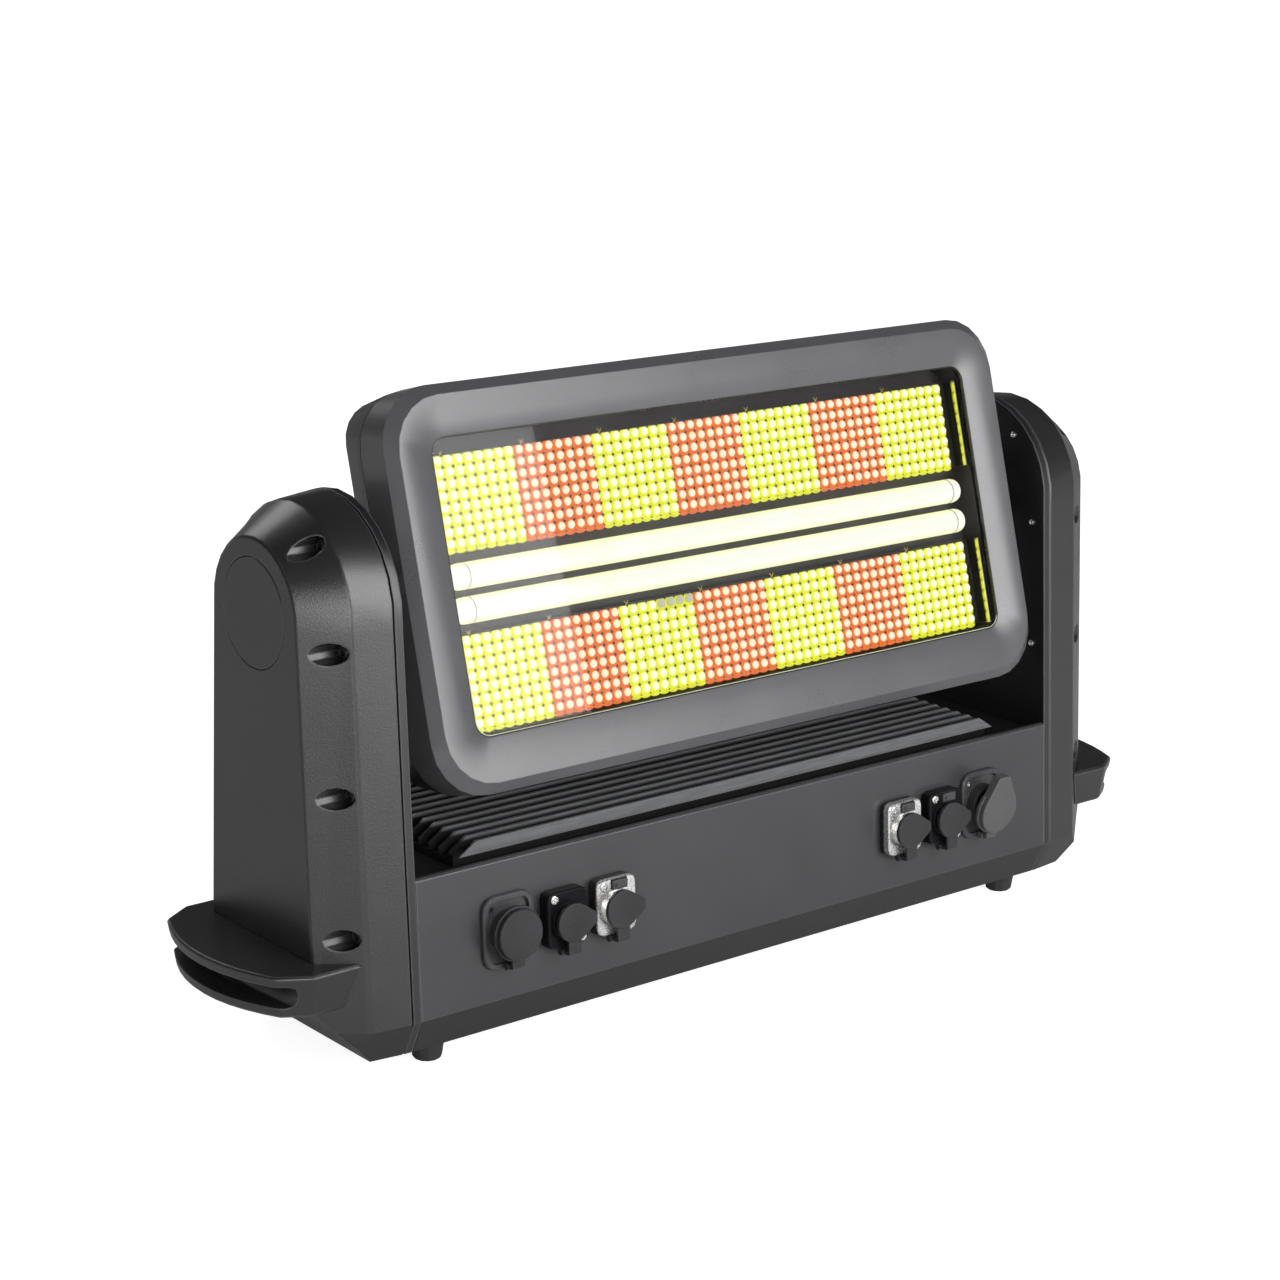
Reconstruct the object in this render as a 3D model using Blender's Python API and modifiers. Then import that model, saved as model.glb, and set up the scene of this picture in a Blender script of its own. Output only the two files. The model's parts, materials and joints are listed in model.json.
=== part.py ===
"""Moving head strobe light: a finned base, two arms and a tilting head with two LED panels."""

import math

import bmesh
import bpy
from mathutils import Matrix, Vector

# Clearances between pieces, in metres
GAP = 0.0003
SEAM_GAP = 0.0005
RUN_GAP = 0.0005

# Heights of the base, from the surface that the feet stand on
FOOT_HEIGHT = 0.0105
BAND_HEIGHT = 0.0195
PANEL_HEIGHT = 0.075
AXIS_ABOVE_PANEL = 0.1335
BASE_BOTTOM = FOOT_HEIGHT
CREASE_Z = BASE_BOTTOM + BAND_HEIGHT
PANEL_TOP = CREASE_Z + PANEL_HEIGHT
AXIS_Z = PANEL_TOP + AXIS_ABOVE_PANEL

# Base housing between the arms
PANEL_LENGTH = 0.456
BASE_WALL = 0.0025
BASE_LIP = 0.0048
LIP_EDGE = 0.0010
BAND_SLOPE = 0.47

# Arms: each section is an arch round the tilt axis whose sides lean outwards on the way down
RIM_RADIUS = 0.057
RIM_LEAN = 0.0622
CREASE_RADIUS = 0.0545
CREASE_LEAN = 0.060
END_RADIUS = 0.0388
END_LEAN = 0.0546
PLATE_THICKNESS = 0.0046
OUTER_FACET = 0.0235
POCKET_FACET = 0.023
ARM_WALL = 0.003
ARM_END_WALL = 0.0045
ARM_EDGE = 0.0010
ARCH_STEPS = 14
UNDERSIDE_START = 0.0195
UNDERSIDE_RISE = 1.08
CAVITY_LIFT = 0.004
CAVITY_END_LIFT = 0.010

# Screw pockets in the slanted facet of the arm covers
POCKET_RADIUS = 0.0058
POCKET_WALL = 0.0022
POCKET_FLOOR = 0.0115
POCKET_RUN = 0.05
POCKET_PLACE = 0.46
POCKET_TOP_DROP = 0.013
POCKET_PITCH = 0.0733
POCKET_ROWS = 3
POCKET_ARCH_ANGLE = math.radians(51)
POCKET_SIDES = 12
POCKET_BOSS_SIDES = 6

# Round cap on the end of each arm
ARM_CAP_RADIUS = 0.0288
ARM_CAP_THICKNESS = 0.0018

# Carrying handles, as corner points of the outline seen from above
HANDLE_TOP = 0.0668
HANDLE_BOTTOM = 0.0438
HANDLE_ROOT = 0.022
HANDLE_SHOULDER = (0.0081, 0.0632)
HANDLE_CORNER = (0.0252, 0.0526)
HANDLE_REACH = 0.0379
HANDLE_STEPS = 10
GRIP_HEIGHT = 0.012
GRIP_DEPTH = 0.020
GRIP_LIP = 0.0052
GRIP_ROUND = 0.004

# Heat sink on the base
FIN_COUNT = 13
FIN_PITCH = 0.0091
FIN_THICKNESS = 0.0018
FIN_TOP = 0.009
FIN_FOOT = 0.0035
SLAB_FOOT = 0.002
FIN_HALF_LENGTH = 0.1935
FIN_END_RUN = 0.0105
PLINTH_SETBACK = 0.006
DECK_THICKNESS = 0.002
DECK_DROP = 0.005

# Feet, set in from the panel's ends and from the rim
FOOT_END_SETBACK = 0.017
FOOT_RIM_SETBACK = 0.007
FOOT_RADIUS = 0.0092
FOOT_TIP_RADIUS = 0.0078

# Bottom plate and the quick-lock holes of two clamp brackets
BOTTOM_THICKNESS = 0.0022
LOCK_HOLE_RADIUS = 0.006
LOCK_HOLE_X = (0.087, 0.193)

# Head, in its own upright frame: x along its length, y to the back, z up, origin on the tilt axis
REST_TILT = math.radians(15.4)
HEAD_DROP = 0.0055
HEAD_HALF_LENGTH = 0.2144
HEAD_HALF_HEIGHT = 0.1052
HEAD_CORNER = 0.0305
FACE_FRONT = 0.0466
FACE_CHAMFER = 0.0057
BEZEL_FLAT = 0.0108
BEZEL_BEVEL = 0.010
BEZEL_BEVEL_DEPTH = 0.003
BEZEL_LIP = 0.0015
BEZEL_WALL = 0.0025
HEAD_SEAM = 0.020
SHELL_WALL = 0.003
SHELL_WAIST = -0.0215
SHELL_WAIST_INSET = 0.0184
SHELL_WAIST_DROP = 0.0025
SHELL_BACK = -0.046
SHELL_BACK_INSET = 0.020
CORNER_STEPS = 5

# Window and the light sources behind it
GLASS_THICKNESS = 0.003
GLASS_MARGIN = 0.006
WINDOW_LIFT = 0.0009
PLATE_FRONT = 0.0235
LIGHT_PLATE = 0.003
BOARD_THICKNESS = 0.0067
BOARD_HALF_LENGTH = 0.1805
BOARD_HALF_HEIGHT = 0.025
UPPER_BOARD_Z = 0.0395
LOWER_BOARD_Z = -0.0533
TUBE_RADIUS = 0.007
TUBE_HALF_LENGTH = 0.1808
UPPER_TUBE_Z = 0.0010
LOWER_TUBE_Z = -0.0166

# Head cooling
SINK_BASE = 0.004
SINK_FIN_HEIGHT = 0.034
SINK_FIN_COUNT = 17
SINK_HALF_LENGTH = 0.176
SINK_HALF_HEIGHT = 0.070
FAN_X = 0.095
FAN_SIZE = 0.080
FAN_DEPTH = 0.015
FAN_HOLE_RADIUS = 0.0375
FAN_HUB_RADIUS = 0.016
FAN_BLADES = 7
GRILLE_SLOTS = 7
GRILLE_PITCH = 0.0100
GRILLE_SLOT = 0.0062
GRILLE_RADIUS = 0.0365

# Tilt drive
BOSS_RADIUS = 0.0185
BOSS_START = 0.190
BOSS_PROUD = 0.0006
HUB_THICKNESS = 0.005
SHAFT_RADIUS = 0.0122
SHAFT_BORE = 0.007
BEARING_RADIUS = 0.0235
BEARING_FLANGE = 0.0280
BEARING_LENGTH = 0.010
BELT_PITCH = 0.00508
TILT_TEETH = 30
MOTOR_TEETH = 10
TOOTH_DEPTH = 0.0013
PULLEY_WIDTH = 0.011
PULLEY_FLANGE = 0.0012
BELT_THICKNESS = 0.0014
MOTOR_Z = 0.064
MOTOR_SIDE = 0.042
MOTOR_LENGTH = 0.038
MOTOR_SHAFT_RADIUS = 0.003
MOTOR_PILOT = 0.011
SHAFT_TAIL = 0.001

# Connectors on the front panel: distance from the middle, and their common height
CONNECTOR_Z = 0.067
POWER_X = 0.1728
DMX_X = 0.1381
NETWORK_X = 0.1056
FLANGE_WIDTH = 0.026
FLANGE_HEIGHT = 0.031
FLANGE_CORNER = 0.004
FLANGE_PROUD = 0.0076
FLANGE_EDGE = 0.0008
SOCKET_DROP = 0.0012
COLLAR_RADIUS = 0.0096
COLLAR_PROUD = 0.0104
SOCKET_BORE = 0.0086
SOCKET_FLOOR = -0.012
SHOULDER_PROUD = 0.0015
BARREL_RADIUS = 0.0118
BARREL_DEPTH = 0.020
POWER_WIDTH = 0.0325
POWER_HEIGHT = 0.040
POWER_CORNER = 0.008
POWER_RIM = 0.0032
POWER_PROUD = 0.0028
POWER_RECESS = 0.0020
POWER_BARREL = 0.0130
POWER_COLLAR_RADIUS = 0.0122
POWER_COLLAR_PROUD = 0.0076
POWER_BORE = 0.0102
POWER_FLOOR = -0.014

# Rubber caps of the connectors, with the pull tab as (direction, reach, half width)
DUST_CAP_RADIUS = 0.0106
DUST_CAP_THICKNESS = 0.0028
DUST_CAP_TAB = (0.0, 0.0150, 0.0025)
POWER_CAP_RADIUS = 0.0138
POWER_CAP_THICKNESS = 0.0058
POWER_CAP_RING = 0.0012
POWER_CAP_STEP = 0.0022
POWER_CAP_TAB = (math.pi / 2, 0.0220, 0.0042)
POWER_OUT_OPEN = math.radians(12)
CAP_EDGE = 0.0006
PLUG_CLEARANCE = 0.0014
PLUG_DEPTH = 0.0010
STRAP_WIDTH = 0.0080
STRAP_THICKNESS = 0.0018
STRAP_OVERLAP = 0.0020
KNUCKLE_RADIUS = 0.002

# Release latches in the connectors' flanges
LATCH_X = 0.0015
LATCH_WIDTH = 0.0100
LATCH_SPAN = (0.0092, 0.0144)
LATCH_FOOT = 0.0035
LATCH_PROUD = 0.0016
LATCH_TRAVEL = 0.0015

# Control panel on the back of the base
CONTROL_WIDTH = 0.130
CONTROL_HEIGHT = 0.046
CONTROL_THICKNESS = 0.004
CONTROL_Z = 0.066
DISPLAY_WIDTH = 0.062
DISPLAY_HEIGHT = 0.034
DISPLAY_X = -0.026
BUTTON_RADIUS = 0.0036
BUTTON_PROUD = 0.0014
BUTTON_TRAVEL = 0.001
BUTTON_X = 0.036
BUTTON_SPREAD = 0.0125

# Inside the base
SUPPLY_SIZE = (0.190, 0.086, 0.038)
SUPPLY_X = 0.060
BOARD_SIZE = (0.150, 0.086, 0.0016)
STANDOFF = 0.012
LEG_INSET = 0.006

MATERIALS = {
    "cast_black": ((0.050, 0.051, 0.054), 0.50, 0.0),
    "panel_grey": ((0.070, 0.071, 0.075), 0.45, 0.3),
    "deck_black": ((0.012, 0.012, 0.013), 0.55, 0.0),
    "fin_grey": ((0.060, 0.062, 0.064), 0.45, 0.5),
    "bezel_grey": ((0.150, 0.150, 0.155), 0.45, 0.2),
    "rubber": ((0.025, 0.025, 0.026), 0.75, 0.0),
    "socket_black": ((0.018, 0.018, 0.019), 0.45, 0.0),
    "socket_nickel": ((0.60, 0.59, 0.57), 0.30, 0.9),
    "steel": ((0.45, 0.45, 0.46), 0.35, 1.0),
    "aluminium": ((0.60, 0.61, 0.62), 0.40, 1.0),
    "circuit_green": ((0.02, 0.13, 0.06), 0.50, 0.0),
    "led_yellow": ((0.75, 0.80, 0.05), 0.40, 0.0),
    "tube_white": ((0.95, 0.95, 0.88), 0.35, 0.0),
    "glass": ((0.85, 0.88, 0.90), 0.05, 0.0),
    "key_plastic": ((0.06, 0.06, 0.065), 0.40, 0.0),
    "display": ((0.010, 0.014, 0.020), 0.15, 0.0),
}

# Lines that several pieces share
SEAM_X = PANEL_LENGTH / 2 + PLATE_THICKNESS
ARM_CREASE_X = SEAM_X + OUTER_FACET
ARM_END_X = ARM_CREASE_X + POCKET_FACET
DECK_TOP = PANEL_TOP - DECK_DROP
MOTOR_FACE = PANEL_LENGTH / 2 - GAP - BASE_WALL - GAP
BOSS_END = HEAD_HALF_LENGTH + BOSS_PROUD
PULLEY_START = PANEL_LENGTH / 2 + GAP + BEARING_LENGTH + PULLEY_FLANGE + RUN_GAP
SHAFT_END = PULLEY_START + PULLEY_WIDTH + PULLEY_FLANGE + SHAFT_TAIL
DRIVE_SIDE = 1
SIDES = ((-1, "left"), (1, "right"))

# Directions that a flat outline or a turned shape is laid in
ACROSS_X = Matrix(((0, 0, 1, 0), (1, 0, 0, 0), (0, 1, 0, 0), (0, 0, 0, 1)))
FACING_FRONT = Matrix(((1, 0, 0, 0), (0, 0, -1, 0), (0, 1, 0, 0), (0, 0, 0, 1)))


def clear_scene():
    for item in list(bpy.data.objects):
        bpy.data.objects.remove(item, do_unlink=True)


def new_collection(name):
    collection = bpy.data.collections.new(name)
    bpy.context.scene.collection.children.link(collection)
    return collection


def material(name):
    found = bpy.data.materials.get(name)
    if found:
        return found
    colour, roughness, metallic = MATERIALS[name]
    made = bpy.data.materials.new(name)
    made.use_nodes = True
    shader = made.node_tree.nodes["Principled BSDF"]
    shader.inputs["Base Color"].default_value = (*colour, 1.0)
    shader.inputs["Roughness"].default_value = roughness
    shader.inputs["Metallic"].default_value = metallic
    return made


def place(item, parent=None, matrix=None):
    """Hang an object on its parent and set where it sits in the parent's frame."""
    if parent:
        item.parent = parent
    if matrix:
        item.matrix_local = matrix
    return item


def part(name, mesh, finish, parent, matrix=None):
    """A piece of the fixture: one named object with one material."""
    item = bpy.data.objects.new(name, mesh)
    PARTS.objects.link(item)
    mesh.materials.clear()
    mesh.materials.append(material(finish))
    return place(item, parent, matrix)


def guide(name, mesh, parent, matrix=None):
    """A helper shape that cuts a piece or is joined to it."""
    item = bpy.data.objects.new(name, mesh)
    CUTTERS.objects.link(item)
    item.hide_render = True
    item.display_type = "WIRE"
    return place(item, parent, matrix)


def empty(name, parent, matrix):
    item = bpy.data.objects.new(name, None)
    PARTS.objects.link(item)
    return place(item, parent, matrix)


def smooth(mesh, angle=30):
    mesh.shade_smooth()
    mesh.set_sharp_from_angle(angle=math.radians(angle))
    return mesh


def boolean(target, other, operation):
    step = target.modifiers.new(f"{operation.lower()} {other.name}", "BOOLEAN")
    step.operation = operation
    step.solver = "EXACT"
    step.object = other
    return target


def cut(target, *cutters):
    for cutter in cutters:
        boolean(target, cutter, "DIFFERENCE")
    return target


def join(target, *others):
    for other in others:
        boolean(target, other, "UNION")
    return target


def bevel(target, width, segments=2, angle=30):
    step = target.modifiers.new("edge rounding", "BEVEL")
    step.width = width
    step.segments = segments
    step.limit_method = "ANGLE"
    step.angle_limit = math.radians(angle)
    return target


def finish_mesh(bm, name):
    bmesh.ops.recalc_face_normals(bm, faces=bm.faces)
    mesh = bpy.data.meshes.new(name)
    bm.to_mesh(mesh)
    bm.free()
    return mesh


def box_mesh(name, low, high):
    """A box between two corners."""
    bm = bmesh.new()
    middle = [(a + b) / 2 for a, b in zip(low, high)]
    size = [b - a for a, b in zip(low, high)]
    matrix = Matrix.Translation(middle) @ Matrix.Diagonal((*size, 1))
    bmesh.ops.create_cube(bm, size=1, matrix=matrix)
    return finish_mesh(bm, name)


def rod_mesh(name, radius, start, end, sides=24):
    """A round rod between two points, smooth along its side."""
    start, end = Vector(start), Vector(end)
    along = end - start
    turn = along.to_track_quat("Z", "Y").to_matrix().to_4x4()
    bm = bmesh.new()
    bmesh.ops.create_cone(
        bm, cap_ends=True, segments=sides, radius1=radius, radius2=radius,
        depth=along.length, matrix=Matrix.Translation((start + end) / 2) @ turn,
    )
    return smooth(finish_mesh(bm, name))


def outline_mesh(name, loops, low, high, matrix=Matrix()):
    """A flat outline with holes, filled and given thickness from low to high along its normal."""
    curve = bpy.data.curves.new(name, "CURVE")
    curve.dimensions = "2D"
    curve.fill_mode = "BOTH"
    curve.extrude = (high - low) / 2
    for loop in loops:
        spline = curve.splines.new("POLY")
        spline.points.add(len(loop) - 1)
        for point, (x, y) in zip(spline.points, loop):
            point.co = (x, y, 0, 1)
        spline.use_cyclic_u = True
    holder = bpy.data.objects.new(name, curve)
    bpy.context.scene.collection.objects.link(holder)
    depsgraph = bpy.context.evaluated_depsgraph_get()
    mesh = bpy.data.meshes.new_from_object(holder.evaluated_get(depsgraph))
    bpy.data.objects.remove(holder, do_unlink=True)
    bm = bmesh.new()
    bm.from_mesh(mesh)
    bmesh.ops.remove_doubles(bm, verts=bm.verts, dist=1e-6)
    bmesh.ops.transform(
        bm, matrix=matrix @ Matrix.Translation((0, 0, (low + high) / 2)), verts=bm.verts
    )
    bpy.data.meshes.remove(mesh)
    return finish_mesh(bm, name)


def turned_mesh(name, profile, steps, closed=False):
    """A profile of (radius, height) points, outer side from top to bottom, turned round Z."""
    bm = bmesh.new()
    points = [bm.verts.new((radius, 0, height)) for radius, height in profile]
    for first, second in zip(points, points[1:]):
        bm.edges.new((first, second))
    if closed:
        bm.edges.new((points[-1], points[0]))
    mesh = bpy.data.meshes.new(name)
    bm.to_mesh(mesh)
    bm.free()
    holder = bpy.data.objects.new(name, mesh)
    bpy.context.scene.collection.objects.link(holder)
    screw = holder.modifiers.new("turn", "SCREW")
    screw.steps = steps
    screw.render_steps = steps
    screw.use_merge_vertices = True
    screw.merge_threshold = 1e-5
    depsgraph = bpy.context.evaluated_depsgraph_get()
    turned = bpy.data.meshes.new_from_object(holder.evaluated_get(depsgraph))
    bpy.data.objects.remove(holder, do_unlink=True)
    bm = bmesh.new()
    bm.from_mesh(turned)
    bmesh.ops.remove_doubles(bm, verts=bm.verts, dist=1e-6)
    return smooth(finish_mesh(bm, name))


def loft_mesh(name, rings, closed=False):
    """A skin over rings of points, capped at both ends, or closed into a frame."""
    bm = bmesh.new()
    loops = [[bm.verts.new(point) for point in ring] for ring in rings]
    pairs = list(zip(loops, loops[1:]))
    if closed:
        pairs.append((loops[-1], loops[0]))
    for first, second in pairs:
        for i in range(len(first)):
            j = (i + 1) % len(first)
            bm.faces.new((first[i], first[j], second[j], second[i]))
    if not closed:
        bm.faces.new(loops[0])
        bm.faces.new(loops[-1])
    return finish_mesh(bm, name)


def circle(radius, sides, centre=(0.0, 0.0)):
    turn = 2 * math.pi / sides
    return [
        (centre[0] + radius * math.cos(i * turn), centre[1] + radius * math.sin(i * turn))
        for i in range(sides)
    ]


def rounded_rectangle(half_width, half_height, corner, steps, centre=(0.0, 0.0)):
    points = []
    for turn, (sx, sy) in enumerate(((1, 1), (-1, 1), (-1, -1), (1, -1))):
        middle = (sx * (half_width - corner), sy * (half_height - corner))
        for i in range(steps + 1):
            angle = (turn + i / steps) * math.pi / 2
            points.append((
                centre[0] + middle[0] + corner * math.cos(angle),
                centre[1] + middle[1] + corner * math.sin(angle),
            ))
    return points


def mix(first, second, share):
    return first + (second - first) * share


def half_depth(radius, lean, z):
    """Half the depth of an arm section at height z, below the tilt axis."""
    return radius * math.sqrt(1 + lean * lean) + lean * (AXIS_Z - z)


def rim_half_depth(z):
    return half_depth(RIM_RADIUS, RIM_LEAN, z)


def arm_section(radius, lean, bottom):
    """An arch outline as (y, z) points: up the front, over the axis and down the back."""
    tangent = math.atan(lean)
    sweep = math.pi + 2 * tangent
    points = [(-half_depth(radius, lean, bottom), bottom)]
    for i in range(ARCH_STEPS + 1):
        angle = -tangent + sweep * i / ARCH_STEPS
        points.append((-radius * math.cos(angle), AXIS_Z + radius * math.sin(angle)))
    points.append((half_depth(radius, lean, bottom), bottom))
    return points


def arm_ring(side, x, radius, lean, bottom):
    return [(side * x, y, z) for y, z in arm_section(radius, lean, bottom)]


def arm_solid(name, side, inner_x, grow, end_x, bottoms):
    """The faceted outer form of an arm, or of its hollow when grow is negative."""
    share = (end_x - ARM_CREASE_X) / POCKET_FACET
    end_radius = mix(CREASE_RADIUS, END_RADIUS, share)
    end_lean = mix(CREASE_LEAN, END_LEAN, share)
    return loft_mesh(name, [
        arm_ring(side, inner_x, RIM_RADIUS + grow, RIM_LEAN, bottoms[0]),
        arm_ring(side, ARM_CREASE_X, CREASE_RADIUS + grow, CREASE_LEAN, bottoms[1]),
        arm_ring(side, end_x, end_radius + grow, end_lean, bottoms[2]),
    ])


def pocket_centres():
    """Where the pockets' axes run along X, as (y, z) on both sides of the arm."""
    radius = mix(CREASE_RADIUS, END_RADIUS, POCKET_PLACE)
    lean = mix(CREASE_LEAN, END_LEAN, POCKET_PLACE)
    places = [(
        radius * math.cos(POCKET_ARCH_ANGLE),
        AXIS_Z + radius * math.sin(POCKET_ARCH_ANGLE),
    )]
    for row in range(POCKET_ROWS):
        z = AXIS_Z - POCKET_TOP_DROP - row * POCKET_PITCH
        places.append((half_depth(radius, lean, z), z))
    return [(end * y, z) for end in (-1, 1) for y, z in places]


def pocket_rods(name, side, radius, start_x, sides):
    """Rods along X at the places of all pockets of one arm."""
    bm = bmesh.new()
    for y, z in pocket_centres():
        matrix = Matrix.Translation((side * (start_x + POCKET_RUN / 2), y, z))
        matrix = matrix @ Matrix.Rotation(math.pi / 2, 4, "Y")
        bmesh.ops.create_cone(
            bm, cap_ends=True, segments=sides, radius1=radius, radius2=radius,
            depth=POCKET_RUN, matrix=matrix,
        )
    return finish_mesh(bm, name)


def band_cutters(side):
    """Wedges that carry the base's chamfered band across the arm's outer facets."""
    reach = 0.030
    facet_turn = math.atan2(
        rim_half_depth(CREASE_Z) - half_depth(CREASE_RADIUS, CREASE_LEAN, CREASE_Z), OUTER_FACET
    )
    wedge = [(0, 0), (-BAND_SLOPE * reach, -reach), (reach, -reach), (reach, 0)]
    cutters = []
    for end in (-1, 1):
        outline = [(end * y, z) for y, z in wedge]
        mesh = outline_mesh("arm_band", [outline], -0.05, 0.05, ACROSS_X)
        matrix = Matrix.Translation((side * SEAM_X, end * rim_half_depth(CREASE_Z), CREASE_Z))
        matrix = matrix @ Matrix.Rotation(-side * end * facet_turn, 4, "Z")
        cutters.append(guide(f"arm_band_{side}_{end}", mesh, FIXTURE, matrix))
    return cutters


def underside_cutter(side):
    """The slanted underside at the outer foot of an arm."""
    start = SEAM_X + UNDERSIDE_START
    back = 0.01
    reach = 0.06
    outline = [
        (start - back, BASE_BOTTOM - back * UNDERSIDE_RISE),
        (start + reach, BASE_BOTTOM + reach * UNDERSIDE_RISE),
        (start + reach, BASE_BOTTOM - 0.03),
        (start - back, BASE_BOTTOM - 0.03),
    ]
    outline = [(side * x, z) for x, z in outline]
    mesh = outline_mesh("arm_underside", [outline], -0.1, 0.1, FACING_FRONT)
    return guide(f"arm_underside_{side}", mesh, FIXTURE)


def band_half_depth(inset=0.0):
    return rim_half_depth(CREASE_Z) - BAND_SLOPE * BAND_HEIGHT - inset


def build_arm(side, name):
    """One arm: inner plate, hollow outer cover, round end cap and handle."""
    outline = arm_section(RIM_RADIUS, RIM_LEAN, CREASE_Z)
    outline = [(-band_half_depth(), BASE_BOTTOM)] + outline + [(band_half_depth(), BASE_BOTTOM)]
    loops = [outline, circle(BEARING_RADIUS + GAP * 2, 20, (0, AXIS_Z))]
    if side == DRIVE_SIDE:
        loops.append(circle(MOTOR_SHAFT_RADIUS + 0.002, 16, (0, MOTOR_Z)))
    low, high = sorted((side * PANEL_LENGTH / 2, side * SEAM_X))
    mesh = smooth(outline_mesh(f"arm_plate_{name}", loops, low, high, ACROSS_X))
    part(f"arm_plate_{name}", mesh, "deck_black", FIXTURE)

    bottoms = (BASE_BOTTOM,) * 3
    mesh = arm_solid("arm_cover", side, SEAM_X + GAP, 0, ARM_END_X, bottoms)
    cover = part(f"arm_cover_{name}", smooth(mesh, 20), "cast_black", FIXTURE)
    bevel(cover, ARM_EDGE, segments=1, angle=20)
    bottoms = (CREASE_Z + CAVITY_LIFT,) * 2 + (CREASE_Z + CAVITY_END_LIFT,)
    mesh = arm_solid(
        "arm_hollow", side, SEAM_X - 0.001, -ARM_WALL, ARM_END_X - ARM_END_WALL, bottoms
    )
    hollow = guide(f"arm_hollow_{name}", mesh, FIXTURE)
    floor_x = ARM_CREASE_X + POCKET_FACET * POCKET_PLACE - POCKET_FLOOR
    bosses = pocket_rods(
        "bosses", side, POCKET_RADIUS + POCKET_WALL, floor_x - POCKET_WALL, POCKET_BOSS_SIDES
    )
    cut(hollow, guide(f"pocket_bosses_{name}", bosses, FIXTURE))
    pockets = pocket_rods("pockets", side, POCKET_RADIUS, floor_x, POCKET_SIDES)
    recess = rod_mesh(
        "cap_recess", ARM_CAP_RADIUS + GAP, (side * (ARM_END_X - ARM_CAP_THICKNESS), 0, AXIS_Z),
        (side * (ARM_END_X + 0.01), 0, AXIS_Z), 28,
    )
    cut(cover, hollow, *band_cutters(side), underside_cutter(side))
    cut(cover, guide(f"pockets_{name}", pockets, FIXTURE))
    cut(cover, guide(f"cap_recess_{name}", recess, FIXTURE))

    rise = ARM_CAP_THICKNESS - GAP
    profile = [
        (0, rise + 0.0002), (ARM_CAP_RADIUS - 0.0006, rise + 0.0002),
        (ARM_CAP_RADIUS, rise - 0.0004), (ARM_CAP_RADIUS, 0), (0, 0),
    ]
    turn = Matrix.Rotation(side * math.pi / 2, 4, "Y")
    spot = Matrix.Translation((side * (ARM_END_X - ARM_CAP_THICKNESS + GAP), 0, AXIS_Z))
    part(f"arm_cap_{name}", turned_mesh("arm_cap", profile, 28), "cast_black", FIXTURE, spot @ turn)
    build_handle(side, name)


def handle_outline(side, inset):
    """The handle seen from above; its inner side is cut to the arm afterwards."""
    edge_x = ARM_END_X + HANDLE_REACH
    corner_x = ARM_END_X + HANDLE_CORNER[0] - inset
    corner_y = HANDLE_CORNER[1] - inset * 0.4
    shoulder = (ARM_END_X + HANDLE_SHOULDER[0], HANDLE_SHOULDER[1] - inset)
    root = (ARM_END_X - HANDLE_ROOT, HANDLE_SHOULDER[1] - inset)
    sag = edge_x - inset * 0.6 - corner_x
    arc = []
    for i in range(HANDLE_STEPS + 1):
        y = mix(-corner_y, corner_y, i / HANDLE_STEPS)
        arc.append((corner_x + sag * (1 - (y / corner_y) ** 2), y))
    points = [(root[0], -root[1]), (shoulder[0], -shoulder[1])] + arc
    points += [shoulder, root]
    return [(side * x, y) for x, y in points]


def build_handle(side, name):
    """A crescent grip round the arm's foot, with a finger groove in its outer edge."""
    rings = []
    for z, inset in ((HANDLE_BOTTOM, 0.004), (HANDLE_TOP, 0.0)):
        rings.append([(x, y, z) for x, y in handle_outline(side, inset)])
    handle = part(f"handle_{name}", smooth(loft_mesh("handle", rings), 25), "cast_black", FIXTURE)
    bevel(handle, 0.0013, segments=1, angle=25)
    bottoms = (HANDLE_BOTTOM - 0.02,) * 3
    mesh = arm_solid("arm_form", side, SEAM_X, GAP * 1.3, ARM_END_X + GAP, bottoms)
    middle = (HANDLE_TOP + HANDLE_BOTTOM) / 2
    floor = ARM_END_X + HANDLE_REACH - GRIP_DEPTH
    groove = []
    for i in range(HANDLE_STEPS + 1):
        y = mix(-0.075, 0.075, i / HANDLE_STEPS)
        groove.append((side * (floor - 1.1 * y * y), y))
    groove += [(side * (floor + 0.05), 0.075), (side * (floor + 0.05), -0.075)]
    cutter = guide(
        f"handle_groove_{name}",
        outline_mesh("groove", [groove], middle - GRIP_HEIGHT / 2, middle + GRIP_HEIGHT / 2),
        FIXTURE,
    )
    bevel(cutter, GRIP_ROUND, segments=2, angle=60)
    cut(handle, guide(f"arm_form_{name}", mesh, FIXTURE), cutter)


def slanted_outline(inset, low, high):
    """Section of the base between two heights, as (y, z) points, drawn inset from its outside."""
    def depth(z):
        if z < CREASE_Z:
            return rim_half_depth(CREASE_Z) - BAND_SLOPE * (CREASE_Z - z) - inset
        return rim_half_depth(z) - inset
    heights = [low] + ([CREASE_Z] if low < CREASE_Z < high else []) + [high]
    front = [(-depth(z), z) for z in heights]
    return front + [(-y, z) for y, z in reversed(front)]


def panel_matrix(x, z, rear=False):
    """A frame on the slanted front or rear panel: x across, y up the panel, z outwards."""
    turn = -1 if rear else 1
    matrix = Matrix.Translation((turn * x, -rim_half_depth(z), z))
    matrix = matrix @ Matrix.Rotation(-math.atan(RIM_LEAN), 4, "X") @ FACING_FRONT
    if rear:
        matrix = Matrix.Rotation(math.pi, 4, "Z") @ matrix
    return matrix


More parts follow.
